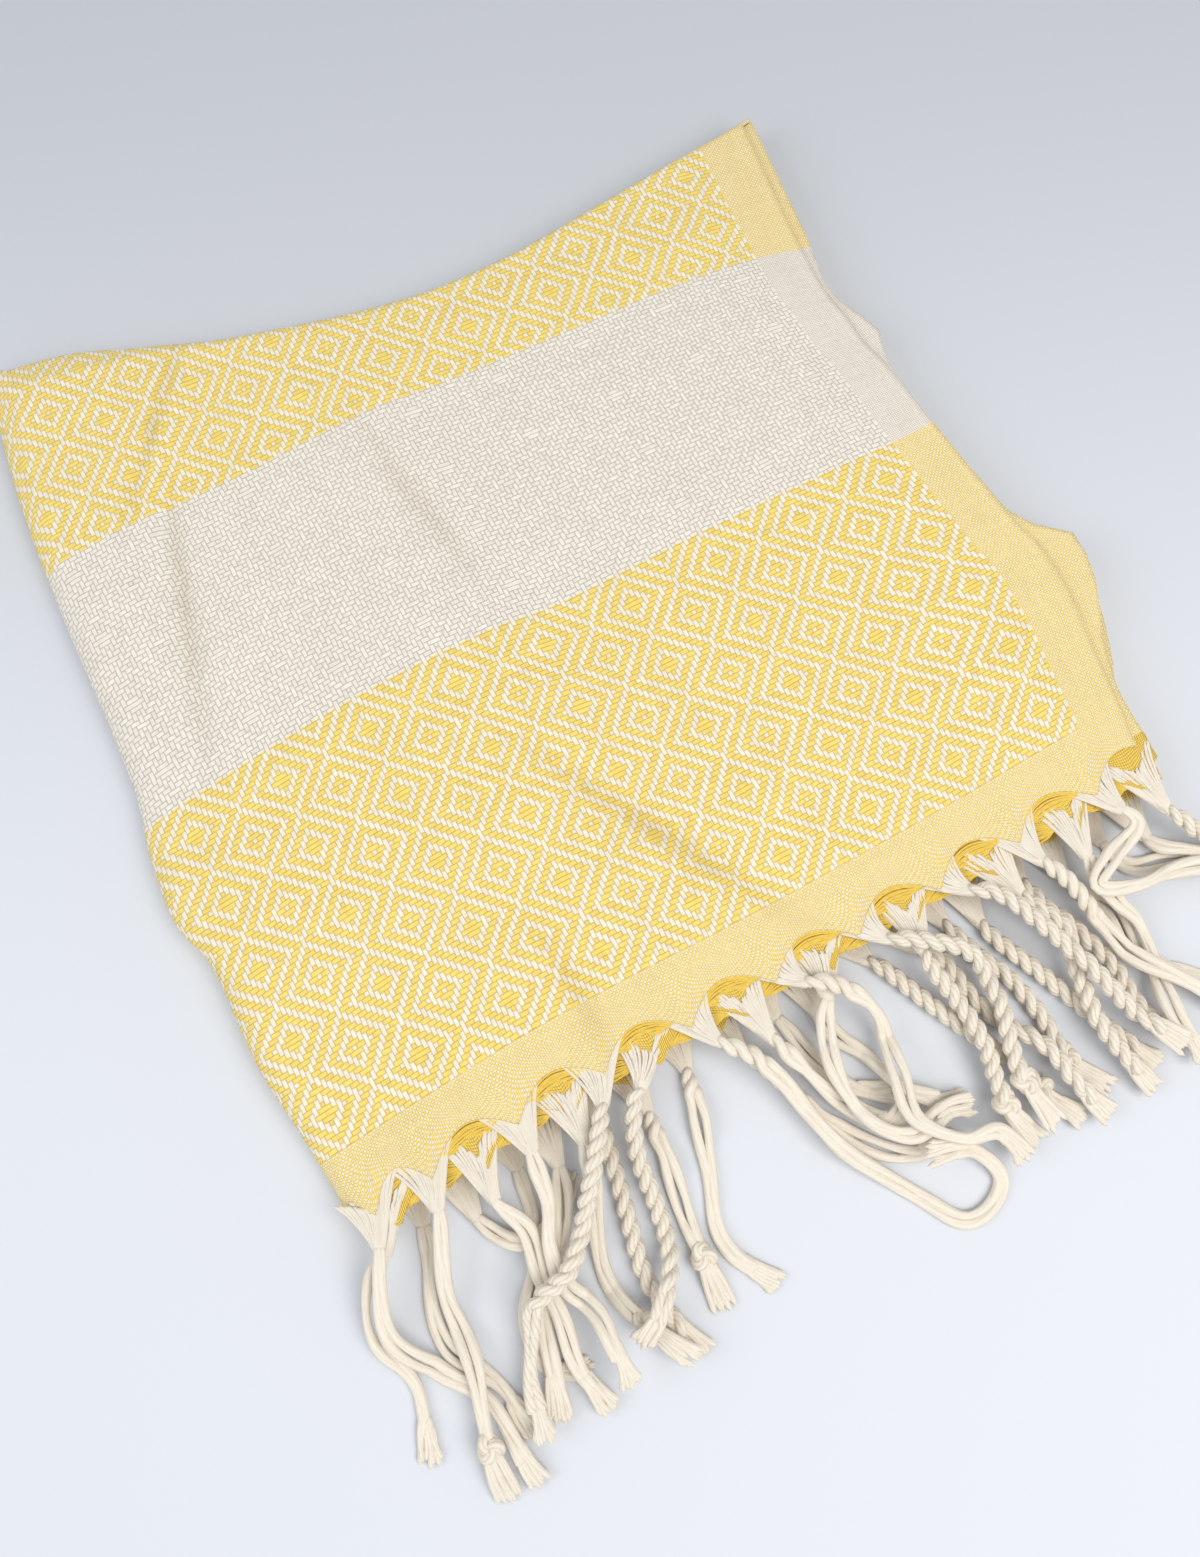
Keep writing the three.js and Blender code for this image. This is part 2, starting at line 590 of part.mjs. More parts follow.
function cottonMesh(name, geometry, colour) {
  const material = new THREE.MeshStandardMaterial({ color: colour, roughness: 0.95, metalness: 0 });
  const mesh = new THREE.Mesh(geometry, material);
  mesh.name = name;
  return mesh;
}

const YELLOW = 0xeed77f;
const CREAM = 0xefe8dc;
const outerStrip = rootStrip(OUTER_EDGE_Y, OUTER_LAYER);
const innerStrip = rootStrip(INNER_EDGE_Y, SECOND_LAYER);
const towel = new THREE.Group();
towel.add(cottonMesh("towel_cloth", foldedSheet(acrossStops(), alongStops()), YELLOW));
towel.add(cottonMesh("outer_end_fringe", fringe(outerStrip, outerCords), CREAM));
towel.add(cottonMesh("inner_end_fringe", fringe(innerStrip, innerCords), CREAM));

export default towel;
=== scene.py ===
# %% [markdown]
# A fringed hand towel, folded and laid on a table.
#
# The towel is a flat-woven cotton cloth, 50 by 100 cm, folded in four along its
# length and then in half across. It has a diamond weave in yellow and cream, one
# cream band, plain borders, and a fringe of twisted warp yarns. The CAD model holds
# the folded sheet and the fringe as plain solids. This script dresses them: a thin
# sheet with its weave, a scalloped hem, twisted and loose cords with knots and
# brushes, and the loose yarns between them. Sizes are in millimetres and are turned
# into Blender's metres only where a vertex is placed.

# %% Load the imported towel
import math
import random

import bmesh
import bpy
from mathutils import Matrix, Vector


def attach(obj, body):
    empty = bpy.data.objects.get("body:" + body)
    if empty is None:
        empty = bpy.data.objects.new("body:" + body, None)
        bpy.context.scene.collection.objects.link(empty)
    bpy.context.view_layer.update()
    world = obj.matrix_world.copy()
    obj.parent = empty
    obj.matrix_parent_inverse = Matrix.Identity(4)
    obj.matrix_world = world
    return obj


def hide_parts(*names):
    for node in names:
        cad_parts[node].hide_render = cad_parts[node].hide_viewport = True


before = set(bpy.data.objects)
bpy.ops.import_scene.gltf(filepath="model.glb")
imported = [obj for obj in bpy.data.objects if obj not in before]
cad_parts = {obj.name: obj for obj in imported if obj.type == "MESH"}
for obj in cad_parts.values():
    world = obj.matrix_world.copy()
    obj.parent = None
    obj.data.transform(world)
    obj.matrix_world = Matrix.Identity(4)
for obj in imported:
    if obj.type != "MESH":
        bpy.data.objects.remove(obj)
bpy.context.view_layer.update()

MM = 0.001
BODY = "root"

# %% [markdown]
# The camera looks down steeply from the front left. Its place and its angles were
# solved from the regular repeat of the weave, which works like graph paper drawn on
# the towel. The three angles are turned in order: the heading round the vertical,
# the tilt away from straight down, and a small roll.

# %% Camera
CAMERA_PLACE = (-47.04, -122.14, 332.74)
CAMERA_HEADING = -25.10
CAMERA_TILT = 13.87
CAMERA_ROLL = -3.63
CAMERA_LENS = 27.31
SENSOR = 36.0
NEAREST_SEEN = 0.01


def make_camera():
    lens = bpy.data.cameras.new("camera")
    lens.lens = CAMERA_LENS
    lens.sensor_width = SENSOR
    lens.clip_start = NEAREST_SEEN
    camera = bpy.data.objects.new("camera", lens)
    place = Matrix.Translation(Vector(CAMERA_PLACE) * MM)
    heading = Matrix.Rotation(math.radians(CAMERA_HEADING), 4, "Z")
    tilt = Matrix.Rotation(math.radians(CAMERA_TILT), 4, "X")
    roll = Matrix.Rotation(math.radians(CAMERA_ROLL), 4, "Z")
    camera.matrix_world = place @ heading @ tilt @ roll
    bpy.context.collection.objects.link(camera)
    bpy.context.scene.camera = camera
    return camera


make_camera()
print("Camera at", CAMERA_PLACE)

# %% [markdown]
# The light is that of a pale photo tent: a bright even sky, one large soft lamp
# above the front right, and a weaker one from the left. The table is a plain pale
# sheet with a faint blue in it, which is lit less and less towards the back of the
# tent. Standard colours are used, so that the pale surfaces stay as pale as they are.

# %% Floor, lights and sky
FLOOR_HALF_SIZE = 3000
FLOOR_NEAR = (0.66, 0.68, 0.72, 1)
FLOOR_FAR = (0.528, 0.548, 0.581, 1)
FLOOR_FADE = (-0.16, 0.24)
FLOOR_ROUGHNESS = 0.7
SKY_COLOUR = (0.93, 0.96, 1.0, 1)
SKY_STRENGTH = 0.59
LAMPS = [
    {"name": "key", "place": (260, -520, 900), "size": 700, "power": 7.4, "colour": (1.0, 0.98, 0.95)},
    {"name": "fill", "place": (-700, 150, 600), "size": 600, "power": 2.5, "colour": (0.95, 0.97, 1.0)},
]


def floor_material():
    material = bpy.data.materials.new("pale_table")
    material.use_nodes = True
    tree = material.node_tree
    shader = tree.nodes["Principled BSDF"]
    coordinates = tree.nodes.new("ShaderNodeTexCoord")
    turned = tree.nodes.new("ShaderNodeVectorRotate")
    turned.rotation_type = "Z_AXIS"
    turned.inputs["Angle"].default_value = math.radians(-CAMERA_HEADING)
    tree.links.new(coordinates.outputs["Object"], turned.inputs["Vector"])
    parts = tree.nodes.new("ShaderNodeSeparateXYZ")
    tree.links.new(turned.outputs[0], parts.inputs[0])
    fade = tree.nodes.new("ShaderNodeMapRange")
    fade.interpolation_type = "SMOOTHSTEP"
    fade.inputs["From Min"].default_value = FLOOR_FADE[0]
    fade.inputs["From Max"].default_value = FLOOR_FADE[1]
    tree.links.new(parts.outputs["Y"], fade.inputs["Value"])
    colour = tree.nodes.new("ShaderNodeMix")
    colour.data_type = "RGBA"
    near, far = [socket for socket in colour.inputs if socket.type == "RGBA"]
    near.default_value = FLOOR_NEAR
    far.default_value = FLOOR_FAR
    tree.links.new(fade.outputs["Result"], colour.inputs["Factor"])
    mixed = next(socket for socket in colour.outputs if socket.type == "RGBA")
    tree.links.new(mixed, shader.inputs["Base Color"])
    shader.inputs["Roughness"].default_value = FLOOR_ROUGHNESS
    return material


def make_floor():
    mesh = bmesh.new()
    bmesh.ops.create_grid(mesh, x_segments=1, y_segments=1, size=FLOOR_HALF_SIZE * MM)
    data = bpy.data.meshes.new("table")
    mesh.to_mesh(data)
    mesh.free()
    data.materials.append(floor_material())
    floor = bpy.data.objects.new("table", data)
    bpy.context.collection.objects.link(floor)
    return floor


def make_lamp(name, place, size, power, colour):
    light = bpy.data.lights.new(name, "AREA")
    light.energy = power
    light.size = size * MM
    light.color = colour
    lamp = bpy.data.objects.new(name, light)
    lamp.location = Vector(place) * MM
    lamp.rotation_euler = (-lamp.location).to_track_quat("-Z", "Y").to_euler()
    bpy.context.collection.objects.link(lamp)
    return lamp


def make_sky():
    world = bpy.data.worlds.new("sky")
    world.use_nodes = True
    background = world.node_tree.nodes["Background"]
    background.inputs["Color"].default_value = SKY_COLOUR
    background.inputs["Strength"].default_value = SKY_STRENGTH
    bpy.context.scene.world = world


make_floor()
for lamp in LAMPS:
    make_lamp(**lamp)
make_sky()
bpy.context.scene.view_settings.view_transform = "Standard"
print("Lamps:", [lamp["name"] for lamp in LAMPS])

# %% [markdown]
# The towel's own sizes repeat those of its CAD solids, so that the sheet made here
# lies in the same folds. The sheet is a little thinner than the solid, and its
# cells are much finer where it shows.

# %% Sizes of the folded cloth
TOWEL_WIDTH = 500
TOWEL_LENGTH = 1000
SHEET = 1.2
LAYER_PITCH = 1.75
SOLID_SHEET = 1.3
FOLD_RADIUS = LAYER_PITCH / 2
PILE_HALF_WIDTH = TOWEL_WIDTH / 4
PILE_FRONT = -120
PILE_BACK = PILE_FRONT + TOWEL_LENGTH / 4
INNER_END_Y = PILE_FRONT - 5
INNER_FOLD_RECESS = 3
OUTER_LAYER = 3 * LAYER_PITCH
SECOND_LAYER = 2 * LAYER_PITCH
PILE_HEIGHT = 2 * (FOLD_RADIUS + OUTER_LAYER) + SOLID_SHEET
MIDDLE_Z = PILE_HEIGHT / 2
SIDE_TURN_X = -PILE_HALF_WIDTH + PILE_HEIGHT / 2
BACK_TURN_Y = PILE_BACK - 1.5 * LAYER_PITCH - SOLID_SHEET / 2
FRONT_TURN_Y = PILE_FRONT + INNER_FOLD_RECESS
print("Pile height:", round(PILE_HEIGHT, 2), "mm")

# %% [markdown]
# A real pile is never a neat block. These tables say how far each edge reaches, for
# the top, middle and lowest layers, read off along the edge. A smooth curve runs
# through each table.

# %% Outline of the pile
LEFT_EDGE = [
    {"at": -120, "top": -126, "middle": -127, "low": -127},
    {"at": -100, "top": -128, "middle": -129, "low": -129},
    {"at": -78, "top": -131, "middle": -132, "low": -132},
    {"at": -50, "top": -131, "middle": -132, "low": -132},
    {"at": -38, "top": -134, "middle": -136, "low": -136},
    {"at": -20, "top": -133, "middle": -135, "low": -135},
    {"at": 0, "top": -129, "middle": -131, "low": -131},
    {"at": 50, "top": -127, "middle": -129, "low": -129},
    {"at": 90, "top": -124, "middle": -126, "low": -126},
    {"at": 130, "top": -117, "middle": -119, "low": -119},
]
RIGHT_EDGE = [
    {"at": -120, "top": 122, "middle": 127, "low": 129},
    {"at": -100, "top": 126, "middle": 128, "low": 130},
    {"at": -84, "top": 129, "middle": 133, "low": 138},
    {"at": -68, "top": 132, "middle": 141, "low": 144},
    {"at": -52, "top": 133, "middle": 144, "low": 146},
    {"at": -46, "top": 132, "middle": 141, "low": 144},
    {"at": -40, "top": 131, "middle": 133, "low": 135},
    {"at": 0, "top": 127, "middle": 128, "low": 129},
    {"at": 26, "top": 125, "middle": 126, "low": 128},
    {"at": 36, "top": 123, "middle": 130, "low": 132},
    {"at": 46, "top": 123, "middle": 128, "low": 130},
    {"at": 58, "top": 122, "middle": 124, "low": 126},
    {"at": 80, "top": 124, "middle": 128, "low": 130},
    {"at": 130, "top": 131, "middle": 135, "low": 137},
]
BACK_EDGE = [
    {"at": -125, "top": 147, "middle": 158, "low": 156},
    {"at": -100, "top": 142, "middle": 153, "low": 151},
    {"at": -80, "top": 137, "middle": 143, "low": 142},
    {"at": -60, "top": 130, "middle": 133, "low": 132},
    {"at": -30, "top": 121, "middle": 123, "low": 123},
    {"at": 0, "top": 114, "middle": 116, "low": 116},
    {"at": 30, "top": 112, "middle": 114, "low": 114},
    {"at": 60, "top": 114, "middle": 116, "low": 116},
    {"at": 125, "top": 120, "middle": 122, "low": 122},
]
FRONT_EDGE = [
    {"at": -125, "top": -121, "middle": -122, "low": -122},
    {"at": -60, "top": -118, "middle": -119, "low": -120},
    {"at": 0, "top": -119, "middle": -119, "low": -120},
    {"at": 60, "top": -119, "middle": -119, "low": -120},
    {"at": 125, "top": -117, "middle": -121, "low": -123},
]


def smooth_between(low, high, value):
    part = min(max((value - low) / (high - low), 0), 1)
    return part * part * (3 - 2 * part)


def mix(start, end, part):
    return start + (end - start) * part


def smooth_curve(start, start_slope, end, end_slope, part):
    """The place that a smooth curve has reached, part of the way from start to end."""
    square = part * part
    cube = square * part
    return (
        start * (2 * cube - 3 * square + 1)
        + start_slope * (cube - 2 * square + part)
        + end * (3 * square - 2 * cube)
        + end_slope * (cube - square)
    )


def on_table(rows, column, place):
    """The value of a column at a place, on a smooth curve through the rows."""
    last = len(rows) - 1
    at = min(max(place, rows[0]["at"]), rows[last]["at"])
    row = 0
    while row < last - 1 and at > rows[row + 1]["at"]:
        row += 1
    before = rows[max(row - 1, 0)]
    start = rows[row]
    end = rows[row + 1]
    after = rows[min(row + 2, last)]
    span = end["at"] - start["at"]
    part = (at - start["at"]) / span
    start_slope = (end[column] - before[column]) / (end["at"] - before["at"]) * span
    end_slope = (after[column] - start[column]) / (after["at"] - start["at"]) * span
    return smooth_curve(start[column], start_slope, end[column], end_slope, part)


FOLDED_STEP = (0.5, 1)
OPEN_STEP = (0.82, 0.95)


def edge_at(rows, place, height):
    """An edge's place at a height. Open layers step where folds would run smoothly."""
    part = min(max(height / PILE_HEIGHT, 0), 1)
    middle = on_table(rows, "middle", place)
    if part < 0.5:
        return mix(on_table(rows, "low", place), middle, smooth_between(0, 0.5, part))
    start, end = OPEN_STEP if rows is RIGHT_EDGE else FOLDED_STEP
    return mix(middle, on_table(rows, "top", place), smooth_between(start, end, part))


print("Edge tables:", len(LEFT_EDGE), len(RIGHT_EDGE), len(BACK_EDGE), len(FRONT_EDGE), "rows")

# %% [markdown]
# Creases are soft troughs and swells, each a long bell-shaped bump: a place, the way
# it runs in degrees from +X, its half length and half width, and its lift. The first
# table repeats the CAD solid's folds. The second adds the finer ones that only the
# eye needs.

# %% Creases
CREASES = [
    {"x": -98, "y": 48, "heading": 78, "length": 52, "width": 7, "lift": -1.3},
    {"x": -108, "y": 48, "heading": 80, "length": 52, "width": 7, "lift": 0.6},
    {"x": -76, "y": 112, "heading": 55, "length": 34, "width": 8, "lift": 1.3},
    {"x": -66, "y": 106, "heading": 55, "length": 34, "width": 8, "lift": -0.8},
    {"x": -4, "y": -72, "heading": -65, "length": 46, "width": 9, "lift": -1.3},
    {"x": 10, "y": -66, "heading": -65, "length": 50, "width": 10, "lift": 0.8},
    {"x": -20, "y": 48, "heading": 100, "length": 44, "width": 10, "lift": -0.9},
    {"x": -46, "y": -100, "heading": 92, "length": 24, "width": 8, "lift": -1.2},
    {"x": -104, "y": -106, "heading": 4, "length": 34, "width": 6, "lift": -1.4},
    {"x": -122, "y": -112, "heading": 40, "length": 30, "width": 24, "lift": -2.0},
    {"x": 66, "y": 24, "heading": 24, "length": 90, "width": 46, "lift": 1.4},
    {"x": -64, "y": -36, "heading": 60, "length": 70, "width": 40, "lift": 1.2},
    {"x": 122, "y": 60, "heading": 88, "length": 90, "width": 16, "lift": -1.2},
    {"x": 126, "y": -60, "heading": 94, "length": 60, "width": 14, "lift": -1.6},
    {"x": 0, "y": -122, "heading": 0, "length": 160, "width": 12, "lift": -1.2},
]
FINE_CREASES = [
    {"x": -94, "y": 56, "heading": 74, "length": 42, "width": 2.8, "lift": -1.3},
    {"x": -100, "y": 54, "heading": 74, "length": 42, "width": 2.8, "lift": 0.8},
    {"x": -78, "y": 112, "heading": 52, "length": 28, "width": 2.8, "lift": -1.3},
    {"x": -86, "y": 92, "heading": 62, "length": 28, "width": 2.8, "lift": 0.9},
    {"x": -6, "y": -72, "heading": -62, "length": 36, "width": 3.0, "lift": -1.4},
    {"x": 1, "y": -68, "heading": -62, "length": 34, "width": 3.0, "lift": 0.9},
    {"x": -20, "y": 50, "heading": 98, "length": 26, "width": 3.6, "lift": -0.9},
    {"x": -47, "y": -98, "heading": 92, "length": 18, "width": 2.8, "lift": -1.0},
    {"x": -102, "y": -108, "heading": 3, "length": 22, "width": 1.8, "lift": 0.8},
]


def crease_lift(x, y, creases):
    lift = 0
    for crease in creases:
        heading = math.radians(crease["heading"])
        dx = x - crease["x"]
        dy = y - crease["y"]
        along = (dx * math.cos(heading) + dy * math.sin(heading)) / crease["length"]
        aside = (dy * math.cos(heading) - dx * math.sin(heading)) / crease["width"]
        lift += crease["lift"] * math.exp(-along * along - aside * aside)
    return lift


def settle(x, y, z):
    """Moves a point of the neat rectangular pile to its place in the uneven one."""
    across = (x + PILE_HALF_WIDTH) / (2 * PILE_HALF_WIDTH)
    back = (y - PILE_FRONT) / (PILE_BACK - PILE_FRONT)
    settled_x = mix(edge_at(LEFT_EDGE, y, z), edge_at(RIGHT_EDGE, y, z), across)
    settled_y = mix(edge_at(FRONT_EDGE, x, z), edge_at(BACK_EDGE, x, z), back)
    lift = crease_lift(settled_x, settled_y, CREASES + FINE_CREASES)
    return Vector((settled_x, settled_y, z * (1 + lift / PILE_HEIGHT)))


print("Creases:", len(CREASES) + len(FINE_CREASES))

# %% [markdown]
# Each tassel gathers the warp yarns of one stretch of the cloth's end and ties them
# into a cord. A cord starts out as two twisted plies. Some keep their twist to the
# tip, and some have lost it and lie loose. Each row says where the cord's root is
# along its edge, how far its twist lasts, whether it is knotted, and the places that
# it passes. The rows are those of the CAD cords.

# %% Table of the tassels
OUTER_TOP_TASSELS = [
    {"root": -118, "twist": 0, "knot": False, "route": [
        (-126, -140), (-129, -153), (-124, -166), (-115, -180), (-113, -203)]},
    {"root": -101, "twist": 0, "knot": True, "route": [
        (-108, -138), (-113, -152), (-115, -168), (-119, -184), (-122, -203)]},
    {"root": -75, "twist": 0, "knot": False, "route": [
        (-78, -140), (-84, -152), (-85, -163), (-80, -174), (-81, -192)]},
    {"root": -49, "twist": 64, "knot": False, "route": [
        (-58, -132), (-69, -146), (-81, -159), (-94, -163), (-102, -176), (-107, -194)]},
    {"root": -23, "twist": 24, "knot": False, "route": [
        (-13, -138), (-8, -158), (1, -179), (14, -199), (28, -196), (25, -184), (12, -179)]},
    {"root": 3, "twist": 22, "knot": False, "route": [
        (14, -130), (21, -143), (18, -157), (15, -170), (23, -180), (33, -184), (36, -195)]},
    {"root": 29, "twist": 90, "knot": True, "route": [
        (40, -131), (51, -141), (52, -154), (48, -166), (46, -177), (48, -192)]},
    {"root": 55, "twist": 90, "knot": False, "route": [
        (65, -130), (71, -143), (76, -156), (80, -171), (89, -190)]},
    {"root": 81, "twist": 30, "knot": False, "route": [
        (85, -137), (88, -150), (91, -163), (98, -175), (110, -190)]},
    {"root": 107, "twist": 0, "knot": False, "route": [
        (110, -132), (99, -137), (91, -142), (101, -147), (120, -151), (146, -163)]},
]
INNER_TOP_TASSELS = [
    {"root": -114, "twist": 0, "knot": False, "route": [
        (-127, -138), (-134, -152), (-131, -168), (-136, -186)]},
    {"root": -88, "twist": 0, "knot": False, "route": [
        (-91, -135), (-87, -146), (-90, -158), (-90, -171), (-91, -183), (-89, -196)]},
    {"root": -62, "twist": 0, "knot": True, "route": [
        (-65, -140), (-72, -154), (-75, -166), (-72, -179), (-64, -195)]},
    {"root": -36, "twist": 62, "knot": False, "route": [
        (-47, -131), (-53, -143), (-55, -157), (-58, -170), (-66, -179), (-76, -184)]},
    {"root": -10, "twist": 16, "knot": False, "route": [
        (-6, -138), (-2, -150), (3, -160), (9, -168), (18, -166)]},
    {"root": 16, "twist": 8, "knot": False, "route": [
        (9, -136), (3, -149), (4, -163), (12, -173), (24, -173), (33, -176)]},
    {"root": 42, "twist": 90, "knot": True, "route": [
        (40, -138), (42, -151), (42, -163), (40, -173), (39, -182), (43, -194)]},
    {"root": 68, "twist": 90, "knot": False, "route": [
        (73, -137), (78, -149), (74, -162), (72, -175), (77, -197)]},
    {"root": 94, "twist": 0, "knot": False, "route": [
        (93, -137), (95, -148), (98, -157), (95, -169), (91, -183), (93, -197)]},
    {"root": 116, "twist": 40, "knot": False, "route": [
        (122, -137), (128, -147), (139, -151), (162, -155)]},
]
OUTER_LOWER_TASSELS = [
    {"root": -108, "twist": 0, "knot": False, "route": [
        (-113, -136), (-118, -150), (-119, -163), (-112, -177), (-108, -193)]},
    {"root": -82, "twist": 0, "knot": False, "route": [
        (-84, -140), (-90, -155), (-98, -167), (-99, -179), (-88, -185)]},
    {"root": -56, "twist": 90, "knot": False, "route": [
        (-60, -142), (-63, -156), (-66, -170), (-65, -182), (-61, -196)]},
    {"root": -30, "twist": 16, "knot": False, "route": [
        (-33, -140), (-38, -154), (-43, -169), (-42, -180), (-36, -191)]},
    {"root": -4, "twist": 0, "knot": False, "route": [
        (-1, -139), (4, -152), (10, -160), (17, -164)]},
    {"root": 22, "twist": 90, "knot": True, "route": [
        (30, -133), (36, -147), (42, -160), (48, -172), (51, -184), (57, -195)]},
    {"root": 48, "twist": 90, "knot": True, "route": [
        (54, -140), (59, -152), (61, -165), (61, -178), (68, -191)]},
    {"root": 74, "twist": 90, "knot": False, "route": [
        (78, -138), (82, -148), (86, -162), (86, -176), (92, -190)]},
    {"root": 100, "twist": 0, "knot": False, "route": [
        (105, -141), (117, -146), (142, -152)]},
]
INNER_LOWER_TASSELS = [
    {"root": -97, "twist": 0, "knot": False, "route": [
        (-98, -139), (-90, -148), (-79, -147), (-71, -138)]},
    {"root": -71, "twist": 0, "knot": False, "route": [
        (-74, -140), (-81, -152), (-91, -163), (-97, -177), (-102, -192)]},
    {"root": -45, "twist": 16, "knot": True, "route": [
        (-46, -140), (-48, -154), (-50, -168), (-51, -180), (-52, -190)]},
    {"root": -19, "twist": 30, "knot": False, "route": [
        (-12, -140), (-6, -157), (2, -171), (12, -179), (25, -182)]},
    {"root": 7, "twist": 0, "knot": False, "route": [
        (9, -141), (14, -151), (17, -162), (24, -170), (32, -174)]},
    {"root": 33, "twist": 90, "knot": False, "route": [
        (45, -137), (47, -149), (50, -160), (56, -171), (58, -183), (63, -197)]},
    {"root": 59, "twist": 90, "knot": False, "route": [
        (61, -139), (66, -152), (71, -165), (76, -178), (83, -192)]},
    {"root": 85, "twist": 0, "knot": False, "route": [
        (89, -139), (95, -150), (94, -161), (99, -170), (107, -180)]},
    {"root": 111, "twist": 0, "knot": False, "route": [
        (115, -139), (123, -147), (134, -158), (150, -166)]},
]
EDGES = [
    {"y": PILE_FRONT, "layer": OUTER_LAYER, "angle": math.pi, "tassels": OUTER_LOWER_TASSELS},
    {"y": INNER_END_Y, "layer": SECOND_LAYER, "angle": math.pi, "tassels": INNER_LOWER_TASSELS},
    {"y": INNER_END_Y, "layer": SECOND_LAYER, "angle": 0, "tassels": INNER_TOP_TASSELS},
    {"y": PILE_FRONT, "layer": OUTER_LAYER, "angle": 0, "tassels": OUTER_TOP_TASSELS},
]
OUTER_LOWER, INNER_LOWER, INNER_TOP, OUTER_TOP = EDGES
print("Tassels:", [len(edge["tassels"]) for edge in EDGES])

# %% [markdown]
# The pull of the tassels shapes the cloth's end into a scalloped hem. At each root
# the cloth is drawn out into a tongue, which is slightly raised, and its threads
# close up towards the root. Between two roots the end slips back into a notch.

# %% Scalloped hem
TASSEL_PITCH = 26
TONGUE_REACH = 3.6
NOTCH_DEPTH = 4.0
NOTCH_SHARPNESS = 1.15
TONGUE_PULL = 0.34
TONGUE_LIFT = 0.8
NOTCH_DROOP = 0.4
HEM_REACH = 13


def nearest_root(x, roots):
    """The nearest root, and how far from it x is: 0 at the root, 1 halfway to the next."""
    ends = [roots[0] - TASSEL_PITCH] + roots + [roots[-1] + TASSEL_PITCH]
    for left, right in zip(ends, ends[1:]):
        if left <= x <= right:
            part = (x - left) / (right - left)
            gap = math.sin(math.pi * part) ** NOTCH_SHARPNESS
            return (left if part < 0.5 else right), gap
    return x, 1


def hem_shift(x, distance, edge):
    """How the tassels move the cloth at a distance from its end."""
    root, gap = nearest_root(x, [row["root"] for row in edge["tassels"]])
    near = 1 - smooth_between(0, HEM_REACH, distance)
    pull = TONGUE_PULL * (1 - gap) * (root - x) * near * near
    reach = mix(-TONGUE_REACH, NOTCH_DEPTH, gap) * near
    lift = mix(TONGUE_LIFT, -NOTCH_DROOP, gap) * near * math.cos(edge["angle"])
    return Vector((pull, reach, max(lift, 0) if edge["angle"] else lift))


def neat_place(across, along):
    radius = FOLD_RADIUS + along["layer"]
    x = across["x"] - radius * math.sin(across["angle"])
    z = MIDDLE_Z + radius * math.cos(across["angle"])
    return x, along["y"], z


def end_place(x, edge):
    """The place of the cloth's very end at x, scalloped."""
    place = settle(*neat_place({"x": x, "angle": edge["angle"]}, edge))
    return place + hem_shift(x, 0, edge)


print("Notches reach back", NOTCH_DEPTH, "mm, tongues reach out", TONGUE_REACH, "mm")

# %% [markdown]
# The sheet starts as one flat grid, as the cloth starts on the loom. Every row and
# column of the grid has a stop: where it lies in the neat pile. Across, the stops run
# along the top half to the left, round the side fold and back along the lower half.
# Along, they run through all four layers. The cells are small on the top layer and
# close to its front edge, and larger where the cloth is hidden.

# %% Stops of the folded sheet
ACROSS_CELL = 1.7
TOP_CELL = 2.5
HIDDEN_CELL = 8.0
LOWER_CELL = 9.0
HEM_CELL = 1.2
WIDE_TURN_CELLS = 12
TIGHT_TURN_CELLS = 6


def even_places(start, end, cell):
    cells = max(1, round(abs(end - start) / cell))
    return [mix(start, end, i / cells) for i in range(cells + 1)]


def across_stops():
    stops = [{"x": x, "angle": 0} for x in even_places(PILE_HALF_WIDTH, SIDE_TURN_X, ACROSS_CELL)]
    for i in range(1, WIDE_TURN_CELLS):
        stops.append({"x": SIDE_TURN_X, "angle": math.pi * i / WIDE_TURN_CELLS})
    for x in even_places(SIDE_TURN_X, PILE_HALF_WIDTH, LOWER_CELL):
        stops.append({"x": x, "angle": math.pi})
    return stops


def turn_stops(y, layer, radius, cells, side, start_out):
    stops = []
    for i in range(1, cells):
        angle = math.pi * i / cells
        reach = side * radius * math.sin(angle)
        stops.append({"y": y + reach, "layer": layer + radius * start_out * math.cos(angle)})
    return stops


def run_stops(start, end, layer, cell):
    return [{"y": y, "layer": layer} for y in even_places(start, end, cell)]


def along_stops():
    wide = 1.5 * LAYER_PITCH
    tight = 0.5 * LAYER_PITCH
    fine = PILE_FRONT + HEM_REACH
    stops = run_stops(PILE_FRONT, fine, OUTER_LAYER, HEM_CELL)[:-1]
    stops += run_stops(fine, BACK_TURN_Y, OUTER_LAYER, TOP_CELL)
    stops += turn_stops(BACK_TURN_Y, wide, wide, WIDE_TURN_CELLS, 1, 1)
    stops += run_stops(BACK_TURN_Y, FRONT_TURN_Y, 0, HIDDEN_CELL)
    stops += turn_stops(FRONT_TURN_Y, tight, tight, TIGHT_TURN_CELLS, -1, -1)
    stops += run_stops(FRONT_TURN_Y, BACK_TURN_Y, LAYER_PITCH, HIDDEN_CELL)
    stops += turn_stops(BACK_TURN_Y, wide, tight, TIGHT_TURN_CELLS, 1, -1)
    stops += run_stops(BACK_TURN_Y, fine, SECOND_LAYER, HIDDEN_CELL)[:-1]
    stops += run_stops(fine, INNER_END_Y, SECOND_LAYER, HEM_CELL)
    return stops


ACROSS = across_stops()
ALONG = along_stops()
print("Sheet cells:", len(ACROSS) - 1, "across and", len(ALONG) - 1, "along")

